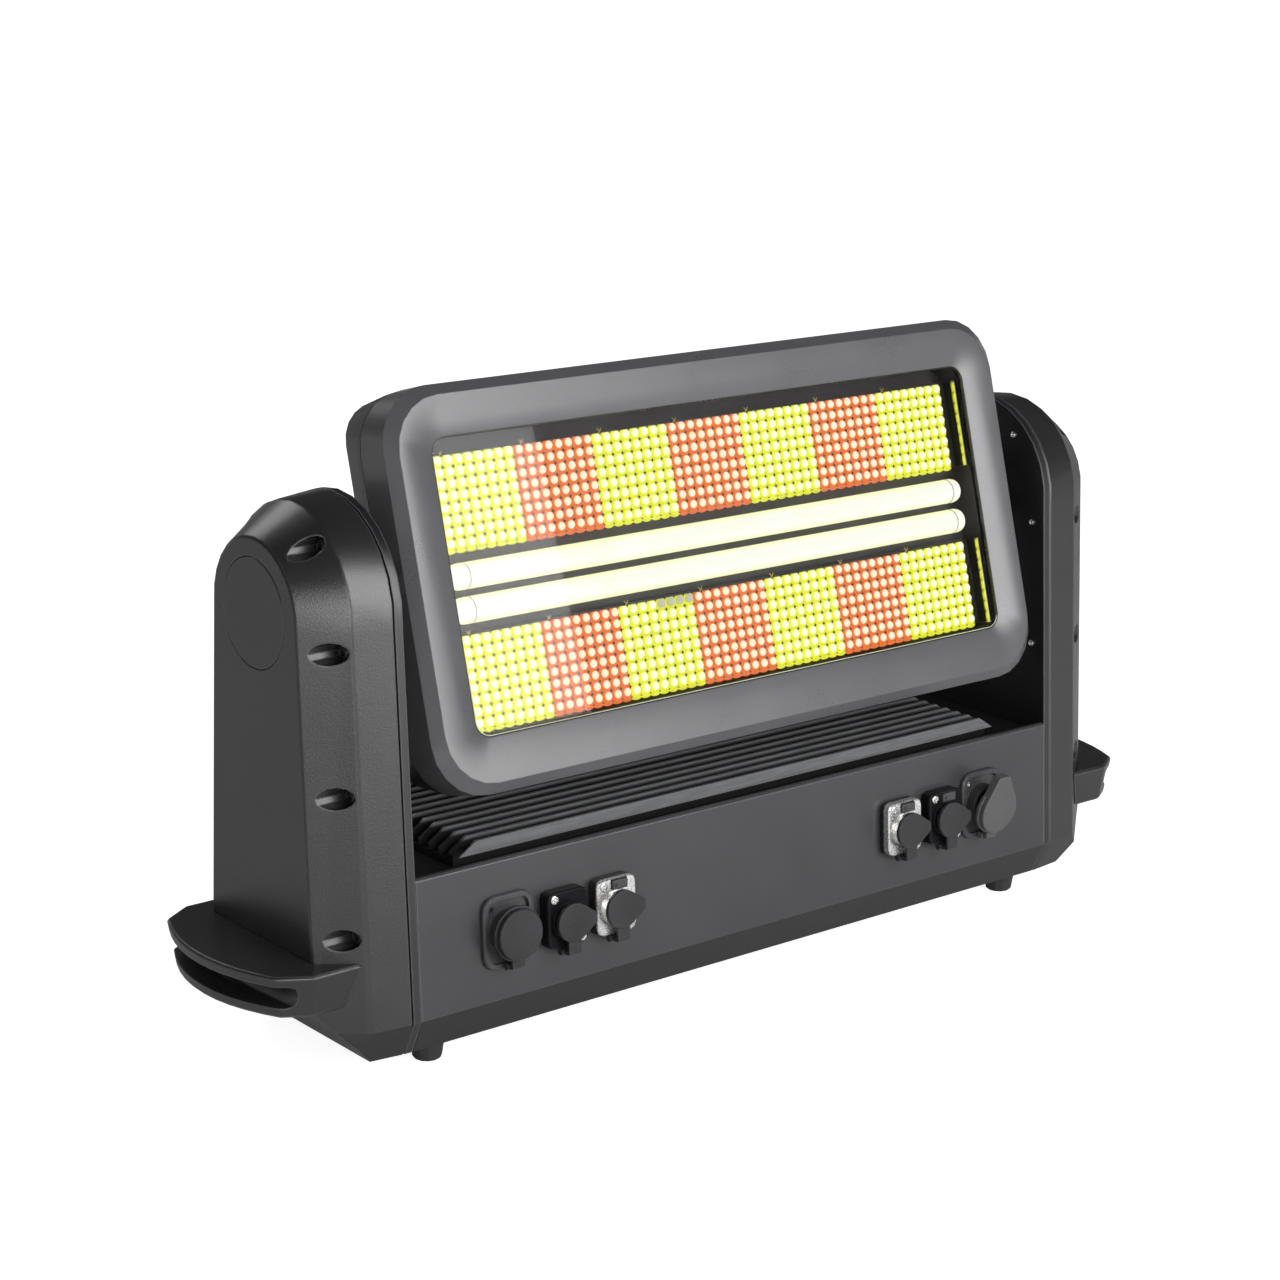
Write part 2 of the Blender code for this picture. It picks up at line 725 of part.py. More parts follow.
def wall_mesh(name, end, half):
    """A front or rear wall of the base with the rolled lip along its top edge."""
    lip_z = DECK_TOP + GAP
    top = rim_half_depth(PANEL_TOP)
    points = [
        (band_half_depth(), BASE_BOTTOM), (rim_half_depth(CREASE_Z), CREASE_Z),
        (top, PANEL_TOP - LIP_EDGE), (top - LIP_EDGE, PANEL_TOP),
        (top - BASE_LIP + LIP_EDGE, PANEL_TOP), (top - BASE_LIP, PANEL_TOP - LIP_EDGE),
        (top - BASE_LIP, lip_z), (rim_half_depth(lip_z) - BASE_WALL, lip_z),
        (rim_half_depth(CREASE_Z) - BASE_WALL, CREASE_Z),
        (band_half_depth() - BASE_WALL * 1.1, BASE_BOTTOM),
    ]
    return outline_mesh(name, [[(end * y, z) for y, z in points]], -half, half, ACROSS_X)


def build_base():
    """Housing, plates, heat sink and feet."""
    half = PANEL_LENGTH / 2 - GAP
    inner = half - BASE_WALL
    housing = part("base_housing", wall_mesh("front_wall", -1, half), "panel_grey", FIXTURE)
    rear = guide("rear_wall", wall_mesh("rear_wall", 1, half), FIXTURE)
    join(housing, rear)
    for side, name in SIDES:
        section = slanted_outline(
            BASE_WALL * 0.4, BASE_BOTTOM + 0.001, DECK_TOP - DECK_THICKNESS - GAP
        )
        low, high = sorted((side * inner, side * (half - 0.0002)))
        mesh = outline_mesh("end_wall", [section], low, high, ACROSS_X)
        join(housing, guide(f"end_wall_{name}", mesh, FIXTURE))
    shaft_hole = rod_mesh(
        "shaft_hole", MOTOR_PILOT + GAP, (DRIVE_SIDE * (inner - 0.01), 0, MOTOR_Z),
        (DRIVE_SIDE * (half + 0.01), 0, MOTOR_Z),
    )
    cut(housing, guide("motor_pilot_hole", shaft_hole, FIXTURE))

    deck = slanted_outline(BASE_WALL + GAP, DECK_TOP - DECK_THICKNESS, DECK_TOP)
    part("top_deck", outline_mesh("top_deck", [deck], -half, half, ACROSS_X), "deck_black", FIXTURE)

    holes = [
        circle(LOCK_HOLE_RADIUS, 16, (x * side, 0)) for x in LOCK_HOLE_X for side in (-1, 1)
    ]
    reach = band_half_depth(BASE_WALL * 1.2 + GAP)
    plate = rounded_rectangle(inner - GAP, reach, 0.003, 2)
    mesh = outline_mesh(
        "bottom_plate", [plate] + holes, BASE_BOTTOM, BASE_BOTTOM + BOTTOM_THICKNESS
    )
    part("bottom_plate", smooth(mesh), "deck_black", FIXTURE)

    build_heat_sink()
    for name, sx, sy in (
        ("rubber_foot_front_left", -1, -1), ("rubber_foot_front_right", 1, -1),
        ("rubber_foot_rear_left", -1, 1), ("rubber_foot_rear_right", 1, 1),
    ):
        top = FOOT_HEIGHT - GAP
        profile = [
            (0, top), (FOOT_RADIUS, top), (FOOT_TIP_RADIUS, 0.001),
            (FOOT_TIP_RADIUS - 0.001, 0), (0, 0),
        ]
        mesh = turned_mesh(name, profile, 12)
        x = sx * (PANEL_LENGTH / 2 - FOOT_END_SETBACK)
        y = sy * (RIM_RADIUS - FOOT_RIM_SETBACK)
        part(name, mesh, "rubber", FIXTURE, Matrix.Translation((x, y, 0)))


def build_heat_sink():
    """Long fins with sloping ends, standing on a set-back plinth on the deck."""
    edge = (FIN_COUNT - 1) / 2 * FIN_PITCH + FIN_THICKNESS / 2
    foot_z = PANEL_TOP + SLAB_FOOT
    shallow_z = foot_z + FIN_FOOT / 2
    deep_z = PANEL_TOP - 0.001
    top_z = PANEL_TOP + FIN_TOP
    points = [(edge - PLINTH_SETBACK, DECK_TOP + GAP), (edge - PLINTH_SETBACK, foot_z)]
    points += [(edge, foot_z)]
    for i in range(FIN_COUNT):
        right = edge - i * FIN_PITCH
        left = right - FIN_THICKNESS
        points += [(right, top_z), (left, top_z)]
        if i < FIN_COUNT - 1:
            floor = shallow_z if i in (0, FIN_COUNT - 2) else deep_z
            points += [(left, floor), (left - FIN_PITCH + FIN_THICKNESS, floor)]
    points += [(-edge, foot_z), (-edge + PLINTH_SETBACK, foot_z)]
    points += [(-edge + PLINTH_SETBACK, DECK_TOP + GAP)]
    sink = part(
        "heat_sink",
        outline_mesh("heat_sink", [points], -FIN_HALF_LENGTH, FIN_HALF_LENGTH, ACROSS_X),
        "fin_grey", FIXTURE,
    )
    for side in (-1, 1):
        outline = [
            (side * FIN_HALF_LENGTH, foot_z), (side * (FIN_HALF_LENGTH - FIN_END_RUN), top_z),
            (side * (FIN_HALF_LENGTH - FIN_END_RUN), top_z + 0.01),
            (side * (FIN_HALF_LENGTH + 0.02), top_z + 0.01),
            (side * (FIN_HALF_LENGTH + 0.02), foot_z),
        ]
        mesh = outline_mesh("fin_end", [outline], -0.08, 0.08, FACING_FRONT)
        cut(sink, guide(f"fin_end_{side}", mesh, FIXTURE))


def stand_on_legs(item, middle, long, deep, floor):
    """Round legs under the corners of a piece that stands above the bottom plate."""
    for i, (sx, sy) in enumerate(((-1, -1), (1, -1), (1, 1), (-1, 1))):
        spot = (middle + sx * (long / 2 - LEG_INSET), sy * (deep / 2 - LEG_INSET))
        mesh = rod_mesh("leg", 0.003, (*spot, floor), (*spot, floor + STANDOFF + 0.001), 6)
        join(item, guide(f"{item.name}_leg_{i}", mesh, FIXTURE))


def build_inside():
    """Power supply and control board on the bottom plate."""
    floor = BASE_BOTTOM + BOTTOM_THICKNESS + GAP
    long, deep, high = SUPPLY_SIZE
    supply = part(
        "power_supply",
        box_mesh("power_supply", (SUPPLY_X - long / 2, -deep / 2, floor + STANDOFF),
                 (SUPPLY_X + long / 2, deep / 2, floor + STANDOFF + high)),
        "aluminium", FIXTURE,
    )
    stand_on_legs(supply, SUPPLY_X, long, deep, floor)
    long, deep, high = BOARD_SIZE
    board_x = SUPPLY_X - SUPPLY_SIZE[0] / 2 - 0.008 - long / 2
    board = part(
        "control_board",
        box_mesh("control_board", (board_x - long / 2, -deep / 2, floor + STANDOFF),
                 (board_x + long / 2, deep / 2, floor + STANDOFF + high)),
        "circuit_green", FIXTURE,
    )
    stand_on_legs(board, board_x, long, deep, floor)


def flange_mesh(name, half, corner, steps, front):
    """A rounded plate on the panel with a chamfer round its front."""
    rings = []
    for z, inset in ((GAP, 0), (front - FLANGE_EDGE, 0), (front, FLANGE_EDGE)):
        loop = rounded_rectangle(half[0] - inset, half[1] - inset, corner - inset, steps)
        rings.append([(x, y, z) for x, y in loop])
    return loft_mesh(name, rings)


def barrel_mesh(bore, floor, front, collar, barrel, sides):
    """A socket's round body: closed at the back, with a collar round its mouth."""
    profile = [
        (0, floor), (bore, floor), (bore, front), (collar, front), (collar, SHOULDER_PROUD),
        (barrel, SHOULDER_PROUD), (barrel, -BARREL_DEPTH), (0, -BARREL_DEPTH),
    ]
    return turned_mesh("barrel", profile, sides)


def cap_outline(radius, tab, sides=20):
    """A circle that runs out into a tapered pull tab."""
    if not tab:
        return circle(radius, sides)
    direction, reach, half = tab
    tangent = math.atan2(half, reach) + math.acos(radius / math.hypot(half, reach))
    points = [(reach, -half), (reach, half)]
    for i in range(sides - 4):
        angle = mix(tangent, 2 * math.pi - tangent, i / (sides - 5))
        points.append((radius * math.cos(angle), radius * math.sin(angle)))
    c, s = math.cos(direction), math.sin(direction)
    return [(x * c - y * s, x * s + y * c) for x, y in points]


def dust_cap(name, frame, middle, hinge, seat, radius, thickness, plug, tab, ring=0, rest_turn=0):
    """A rubber cap on a strap hinged below it, with a shallow plug for the socket's mouth."""
    hinge_y, hinge_z = hinge
    matrix = Matrix.Translation((0, hinge_y, hinge_z)) @ Matrix.Rotation(rest_turn, 4, "X")
    low = seat - hinge_z
    spot = Matrix.Translation((0, middle - hinge_y, low))
    outline = cap_outline(radius, tab)
    cap = part(name, outline_mesh(name, [outline], 0, thickness, spot), "socket_black", frame, matrix)
    bevel(cap, CAP_EDGE, segments=1, angle=40)
    steps = [("plug", plug, -PLUG_DEPTH, CAP_EDGE * 2)]
    if ring:
        steps.append(("ring", radius + ring, 0.0002, POWER_CAP_STEP))
    for label, size, start, stop in steps:
        mesh = rod_mesh(label, size, (0, 0, start), (0, 0, stop), 14)
        join(cap, guide(f"{name}_{label}", mesh, cap, spot))
    half = STRAP_THICKNESS / 2
    under = low + 0.0004
    over = under + STRAP_THICKNESS
    reach = middle - hinge_y - radius + STRAP_OVERLAP
    bend = [
        (-half, 0), (-half, over - half), (0, over), (reach, over), (reach, under), (half, under),
        (half, 0),
    ]
    wide = STRAP_WIDTH / 2
    join(cap, guide(f"{name}_strap", outline_mesh("strap", [bend], -wide, wide, ACROSS_X), cap))
    knuckle = rod_mesh("knuckle", KNUCKLE_RADIUS, (-wide - 0.001, 0, 0), (wide + 0.001, 0, 0), 10)
    join(cap, guide(f"{name}_knuckle", knuckle, cap))


def small_socket(name, x, finish, latch):
    """A square-flanged connector: thick flange, round body, cap, and a latch on some of them."""
    frame = empty(f"{name}_frame", FIXTURE, panel_matrix(x, CONNECTOR_Z))
    middle = Matrix.Translation((0, -SOCKET_DROP, 0))
    half = (FLANGE_WIDTH / 2, FLANGE_HEIGHT / 2)
    socket = part(
        f"{name}_socket", smooth(flange_mesh("flange", half, FLANGE_CORNER, 2, FLANGE_PROUD)),
        finish, frame,
    )
    through = (SOCKET_BORE + COLLAR_RADIUS) / 2
    mouth = rod_mesh("mouth", through, (0, 0, -0.005), (0, 0, FLANGE_PROUD + 0.005), 16)
    cut(socket, guide(f"{name}_mouth", mouth, frame, middle))
    low, high = LATCH_SPAN
    front = FLANGE_PROUD + LATCH_PROUD
    if latch:
        sides = (LATCH_X - LATCH_WIDTH / 2, LATCH_X + LATCH_WIDTH / 2)
        pocket = box_mesh(
            "pocket", (sides[0] - GAP, low - GAP, LATCH_FOOT - LATCH_TRAVEL - GAP),
            (sides[1] + GAP, high + GAP, front),
        )
        cut(socket, guide(f"{name}_latch_pocket", pocket, frame))
        mesh = box_mesh("latch", (sides[0], low, LATCH_FOOT), (sides[1], high, front))
        bevel(part(f"{name}_latch", mesh, "socket_black", frame), 0.0004, segments=1)
    barrel = barrel_mesh(SOCKET_BORE, SOCKET_FLOOR, COLLAR_PROUD, COLLAR_RADIUS, BARREL_RADIUS, 16)
    join(socket, guide(f"{name}_barrel", barrel, frame, middle))
    hole = rod_mesh("hole", BARREL_RADIUS + GAP, (0, 0, -0.012), (0, 0, 0.005), 16)
    cut(HOUSING, guide(f"{name}_hole", hole, frame, middle))
    dust_cap(
        f"{name}_cap", frame, -SOCKET_DROP,
        (-(FLANGE_HEIGHT / 2 + GAP + KNUCKLE_RADIUS), FLANGE_PROUD - KNUCKLE_RADIUS),
        COLLAR_PROUD + GAP, DUST_CAP_RADIUS, DUST_CAP_THICKNESS, SOCKET_BORE - PLUG_CLEARANCE,
        DUST_CAP_TAB,
    )


def power_socket(name, x, tab, rest_turn):
    """A mains connector: rounded raised rim, round body and a larger cap."""
    frame = empty(f"{name}_frame", FIXTURE, panel_matrix(x, CONNECTOR_Z))
    half = (POWER_WIDTH / 2, POWER_HEIGHT / 2)
    socket = part(
        f"{name}_socket", smooth(flange_mesh("flange", half, POWER_CORNER, 3, POWER_PROUD)),
        "socket_black", frame,
    )
    inner = rounded_rectangle(half[0] - POWER_RIM, half[1] - POWER_RIM, POWER_CORNER - POWER_RIM, 3)
    recess = outline_mesh("recess", [inner], POWER_PROUD - POWER_RECESS, POWER_PROUD + 0.01)
    through = (POWER_BORE + POWER_COLLAR_RADIUS) / 2
    mouth = rod_mesh("mouth", through, (0, 0, -0.005), (0, 0, POWER_PROUD + 0.005), 14)
    cut(socket, guide(f"{name}_recess", recess, frame), guide(f"{name}_mouth", mouth, frame))
    barrel = barrel_mesh(
        POWER_BORE, POWER_FLOOR, POWER_COLLAR_PROUD, POWER_COLLAR_RADIUS, POWER_BARREL, 16
    )
    join(socket, guide(f"{name}_barrel", barrel, frame))
    hole = rod_mesh("hole", POWER_BARREL + GAP, (0, 0, -0.012), (0, 0, 0.005), 16)
    cut(HOUSING, guide(f"{name}_hole", hole, frame))
    dust_cap(
        f"{name}_cap", frame, 0,
        (-(POWER_HEIGHT / 2 - KNUCKLE_RADIUS), POWER_PROUD + GAP + KNUCKLE_RADIUS),
        POWER_COLLAR_PROUD + GAP, POWER_CAP_RADIUS, POWER_CAP_THICKNESS,
        POWER_BORE - PLUG_CLEARANCE, tab, POWER_CAP_RING, rest_turn,
    )


def build_controls():
    """Menu display and four keys on the rear panel."""
    frame = empty("control_frame", FIXTURE, panel_matrix(0, CONTROL_Z, rear=True))
    spots = {
        "menu": (BUTTON_X - BUTTON_SPREAD, 0), "up": (BUTTON_X, BUTTON_SPREAD),
        "enter": (BUTTON_X + BUTTON_SPREAD, 0), "down": (BUTTON_X, -BUTTON_SPREAD),
    }
    loops = [
        rounded_rectangle(CONTROL_WIDTH / 2, CONTROL_HEIGHT / 2, 0.004, 3),
        rounded_rectangle(DISPLAY_WIDTH / 2, DISPLAY_HEIGHT / 2, 0.002, 2, (DISPLAY_X, 0)),
    ]
    loops += [circle(BUTTON_RADIUS + GAP * 1.6, 10, spot) for spot in spots.values()]
    panel = part(
        "control_panel", smooth(outline_mesh("control_panel", loops, GAP, CONTROL_THICKNESS)),
        "deck_black", frame,
    )
    window = rounded_rectangle(
        DISPLAY_WIDTH / 2 - GAP, DISPLAY_HEIGHT / 2 - GAP, 0.0018, 2, (DISPLAY_X, 0)
    )
    mesh = outline_mesh("display_window", [window], 0.0008, CONTROL_THICKNESS - 0.0006)
    part("display_window", smooth(mesh), "display", frame)
    margin = 0.004
    opening = outline_mesh(
        "opening", [rounded_rectangle(CONTROL_WIDTH / 2 - margin, CONTROL_HEIGHT / 2 - margin, 0.004, 2)],
        -0.01, 0.005,
    )
    cut(HOUSING, guide("control_opening", opening, frame))
    for name, spot in spots.items():
        profile = [
            (0, CONTROL_THICKNESS + BUTTON_PROUD),
            (BUTTON_RADIUS - 0.0005, CONTROL_THICKNESS + BUTTON_PROUD),
            (BUTTON_RADIUS, CONTROL_THICKNESS + BUTTON_PROUD - 0.0005),
            (BUTTON_RADIUS, -0.0002), (BUTTON_RADIUS + 0.001, -0.0002),
            (BUTTON_RADIUS + 0.001, -0.0014), (0, -0.0014),
        ]
        mesh = turned_mesh(f"{name}_button", profile, 10)
        part(f"{name}_button", mesh, "key_plastic", frame, Matrix.Translation((*spot, 0)))
    return panel


def head_ring(inset_x, inset_z, corner, w, lift=0.0):
    """A rounded outline of the head at distance w in front of the tilt axis."""
    points = rounded_rectangle(
        HEAD_HALF_LENGTH - inset_x, HEAD_HALF_HEIGHT - inset_z, corner, CORNER_STEPS
    )
    return [(x, -w, z - HEAD_DROP + lift) for x, z in points]


def build_head():
    """Front frame, window, light sources, rear shell, fans and shafts."""
    rim = FACE_CHAMFER + BEZEL_FLAT
    step = FACE_FRONT - BEZEL_BEVEL_DEPTH
    flat_z = FACE_CHAMFER + BEZEL_FLAT + 0.0015
    corner = HEAD_CORNER
    edge = rim + BEZEL_BEVEL
    edge_z = flat_z + BEZEL_BEVEL
    wall = BEZEL_WALL
    rings = [
        head_ring(0, 0, corner, HEAD_SEAM),
        head_ring(0, 0, corner, FACE_FRONT - FACE_CHAMFER),
        head_ring(FACE_CHAMFER, FACE_CHAMFER, corner - 0.0025, FACE_FRONT),
        head_ring(rim, flat_z, corner - 0.0145, FACE_FRONT, WINDOW_LIFT),
        head_ring(edge, edge_z, corner - 0.0215, step, WINDOW_LIFT),
        head_ring(edge, edge_z, corner - 0.0215, step - BEZEL_LIP, WINDOW_LIFT),
        head_ring(wall, wall, corner - wall, step - BEZEL_LIP),
        head_ring(wall, wall, corner - wall, HEAD_SEAM),
    ]
    part("head_bezel", smooth(loft_mesh("head_bezel", rings, closed=True), 25), "bezel_grey", HEAD)

    glass_back = step - BEZEL_LIP - GAP - GLASS_THICKNESS
    over = GLASS_MARGIN
    ring = [
        head_ring(edge - over, edge_z - over, corner - 0.0175, w, WINDOW_LIFT)
        for w in (glass_back, glass_back + GLASS_THICKNESS)
    ]
    part("front_glass", smooth(loft_mesh("front_glass", ring)), "glass", HEAD)

    plate_back = PLATE_FRONT - LIGHT_PLATE
    tray_top = glass_back - GAP
    tray = 0.0015
    rings = [
        head_ring(wall + GAP, wall + GAP, corner - wall, plate_back),
        head_ring(wall + GAP, wall + GAP, corner - wall, PLATE_FRONT),
        head_ring(edge - tray, edge_z - tray, corner - 0.0205, PLATE_FRONT, WINDOW_LIFT),
        head_ring(edge - tray, edge_z - tray, corner - 0.0205, tray_top, WINDOW_LIFT),
        head_ring(edge, edge_z, corner - 0.0215, tray_top, WINDOW_LIFT),
        head_ring(edge, edge_z, corner - 0.0215, PLATE_FRONT, WINDOW_LIFT),
    ]
    part("led_backplate", smooth(loft_mesh("led_backplate", rings)), "deck_black", HEAD)

    for name, z in (("upper", UPPER_BOARD_Z), ("lower", LOWER_BOARD_Z)):
        low = (-BOARD_HALF_LENGTH, -PLATE_FRONT - GAP - BOARD_THICKNESS, z - BOARD_HALF_HEIGHT)
        high = (BOARD_HALF_LENGTH, -PLATE_FRONT - GAP, z + BOARD_HALF_HEIGHT)
        part(f"led_board_{name}", box_mesh("led_board", low, high), "led_yellow", HEAD)
    for name, z in (("upper", UPPER_TUBE_Z), ("lower", LOWER_TUBE_Z)):
        w = -PLATE_FRONT - GAP - TUBE_RADIUS
        half = TUBE_HALF_LENGTH
        nose = TUBE_RADIUS * 0.5
        profile = [
            (0, half), (TUBE_RADIUS * 0.6, half - nose * 0.2), (TUBE_RADIUS * 0.9, half - nose * 0.6),
            (TUBE_RADIUS, half - nose * 1.2),
        ]
        profile += [(radius, -height) for radius, height in reversed(profile)]
        mesh = turned_mesh("tube", profile, 16)
        mesh.transform(Matrix.Rotation(math.pi / 2, 4, "Y"))
        part(f"tube_light_{name}", mesh, "tube_white", HEAD, Matrix.Translation((0, w, z)))

    build_rear_shell()
    build_head_cooling(plate_back)
    for side, name in SIDES:
        build_shaft(side, name)


def build_rear_shell():
    """A tapered cup behind the frame, with a boss for the shaft at each end and two grilles."""
    front = HEAD_SEAM - SEAM_GAP
    wall = SHELL_WALL
    waist = (SHELL_WAIST_INSET, SHELL_WAIST_DROP)
    back = (waist[0] + SHELL_BACK_INSET, waist[1] + SHELL_BACK_INSET * 0.7)
    soft = HEAD_CORNER - 0.010
    rings = [
        head_ring(back[0] + wall, back[1] + wall, 0.010, SHELL_BACK + wall),
        head_ring(waist[0] + wall, waist[1] + wall, soft - wall, SHELL_WAIST + wall / 2),
        head_ring(wall, wall, HEAD_CORNER - wall, front),
        head_ring(0, 0, HEAD_CORNER, front),
        head_ring(waist[0], waist[1], soft, SHELL_WAIST),
        head_ring(back[0], back[1], 0.012, SHELL_BACK),
    ]
    shell = part("head_rear_shell", smooth(loft_mesh("head_rear_shell", rings), 25), "cast_black", HEAD)
    for side, name in SIDES:
        boss = rod_mesh("boss", BOSS_RADIUS, (side * BOSS_START, 0, 0), (side * BOSS_END, 0, 0), 18)
        hole = rod_mesh(
            "boss_hole", SHAFT_BORE, (side * (BOSS_START - 0.02), 0, 0),
            (side * (BOSS_END + 0.01), 0, 0), 14,
        )
        join(shell, guide(f"boss_{name}", boss, HEAD))
        cut(shell, guide(f"boss_hole_{name}", hole, HEAD))
    bm = bmesh.new()
    for side in (-1, 1):
        for i in range(GRILLE_SLOTS):
            rise = (i - (GRILLE_SLOTS - 1) / 2) * GRILLE_PITCH
            half = math.sqrt(GRILLE_RADIUS ** 2 - rise ** 2)
            matrix = Matrix.Translation((side * FAN_X, -SHELL_BACK, rise - HEAD_DROP))
            matrix = matrix @ Matrix.Diagonal((2 * half, 0.02, GRILLE_SLOT, 1))
            bmesh.ops.create_cube(bm, size=1, matrix=matrix)
    cut(shell, guide("grille_slots", finish_mesh(bm, "grille_slots"), HEAD))


def build_head_cooling(plate_back):
    """Finned block behind the light plate and two fans behind the grilles."""
    top = -(plate_back - GAP)
    root = top + SINK_BASE
    tip = root + SINK_FIN_HEIGHT
    half = SINK_HALF_LENGTH
    points = [(-half, top), (half, top)]
    pitch = (2 * half - FIN_THICKNESS) / (SINK_FIN_COUNT - 1)
    for i in range(SINK_FIN_COUNT):
        right = half - i * pitch
        left = right - FIN_THICKNESS
        points += [(right, tip), (left, tip)]
        if i < SINK_FIN_COUNT - 1:
            points += [(left, root), (left - pitch + FIN_THICKNESS, root)]
    mesh = outline_mesh(
        "head_heat_sink", [points], -SINK_HALF_HEIGHT - HEAD_DROP, SINK_HALF_HEIGHT - HEAD_DROP
    )
    part("head_heat_sink", mesh, "aluminium", HEAD)

    for side, name in SIDES:
        spot = Matrix.Translation((side * FAN_X, -(SHELL_BACK + SHELL_WALL + GAP), -HEAD_DROP))
        frame = empty(f"head_fan_{name}_frame", HEAD, spot @ FACING_FRONT)
        loops = [
            rounded_rectangle(FAN_SIZE / 2, FAN_SIZE / 2, 0.005, 2), circle(FAN_HOLE_RADIUS, 18)
        ]
        mesh = smooth(outline_mesh("fan", loops, 0, FAN_DEPTH))
        fan = part(f"head_fan_frame_{name}", mesh, "socket_black", frame)
        hub = rod_mesh("hub", FAN_HUB_RADIUS, (0, 0, 0), (0, 0, 0.003), 16)
        join(fan, guide(f"fan_hub_{name}", hub, frame))
        for i in range(4):
            start = FAN_HUB_RADIUS * 0.6
            arm = box_mesh("strut", (start, -0.0015, 0.0002), (FAN_HOLE_RADIUS + 0.001, 0.0015, 0.0028))
            turn = Matrix.Rotation(math.radians(45 + 90 * i), 4, "Z")
            join(fan, guide(f"fan_strut_{name}_{i}", arm, frame, turn))
        mesh = rod_mesh("rotor", FAN_HUB_RADIUS, (0, 0, 0.003 + RUN_GAP), (0, 0, FAN_DEPTH - 0.001), 14)
        rotor = part(f"head_fan_rotor_{name}", mesh, "socket_black", frame)
        for i in range(FAN_BLADES):
            mesh = box_mesh(
                "blade", (FAN_HUB_RADIUS * 0.8, -0.009, -0.0006), (FAN_HOLE_RADIUS - 0.0025, 0.009, 0.0006)
            )
            turn = Matrix.Rotation(2 * math.pi * i / FAN_BLADES, 4, "Z")
            turn = turn @ Matrix.Translation((0, 0, FAN_DEPTH * 0.57)) @ Matrix.Rotation(0.45, 4, "X")
            join(rotor, guide(f"fan_blade_{name}_{i}", mesh, frame, turn))


def build_shaft(side, name):
    """The hollow shaft on the head's boss, and the bearing that carries it in the arm plate."""
    hub_start = BOSS_END + GAP
    profile = [
        (SHAFT_BORE, SHAFT_END), (SHAFT_RADIUS, SHAFT_END), (SHAFT_RADIUS, hub_start + HUB_THICKNESS),
        (BOSS_RADIUS, hub_start + HUB_THICKNESS), (BOSS_RADIUS, hub_start), (SHAFT_BORE, hub_start),
    ]
    turn = Matrix.Rotation(side * math.pi / 2, 4, "Y")
    mesh = turned_mesh("tilt_shaft", profile, 16, closed=True)
    part(f"tilt_shaft_{name}", mesh, "steel", HEAD, turn)
    start = PANEL_LENGTH / 2 + GAP
    seat = SEAM_X + GAP
    end = start + BEARING_LENGTH
    bore = SHAFT_RADIUS + GAP
    profile = [
        (bore, end), (BEARING_RADIUS - 0.004, end), (BEARING_RADIUS - 0.004, seat + 0.003),
        (BEARING_FLANGE, seat + 0.003), (BEARING_FLANGE, seat), (BEARING_RADIUS, seat),
        (BEARING_RADIUS, start), (bore, start),
    ]
    mesh = turned_mesh("shaft_bearing", profile, 16, closed=True)
    spot = Matrix.Translation((0, 0, AXIS_Z))
    part(f"shaft_bearing_{name}", mesh, "steel", FIXTURE, spot @ turn)


def toothed_circle(teeth, turn=0.0):
    tip = pitch_radius(teeth)
    points = []
    for i in range(teeth):
        for share, radius in ((0.0, tip), (0.5, tip - TOOTH_DEPTH)):
            angle = turn + (i + share) * 2 * math.pi / teeth
            points.append((radius * math.cos(angle), radius * math.sin(angle)))
    return points


def pitch_radius(teeth):
    return teeth * BELT_PITCH / (2 * math.pi)


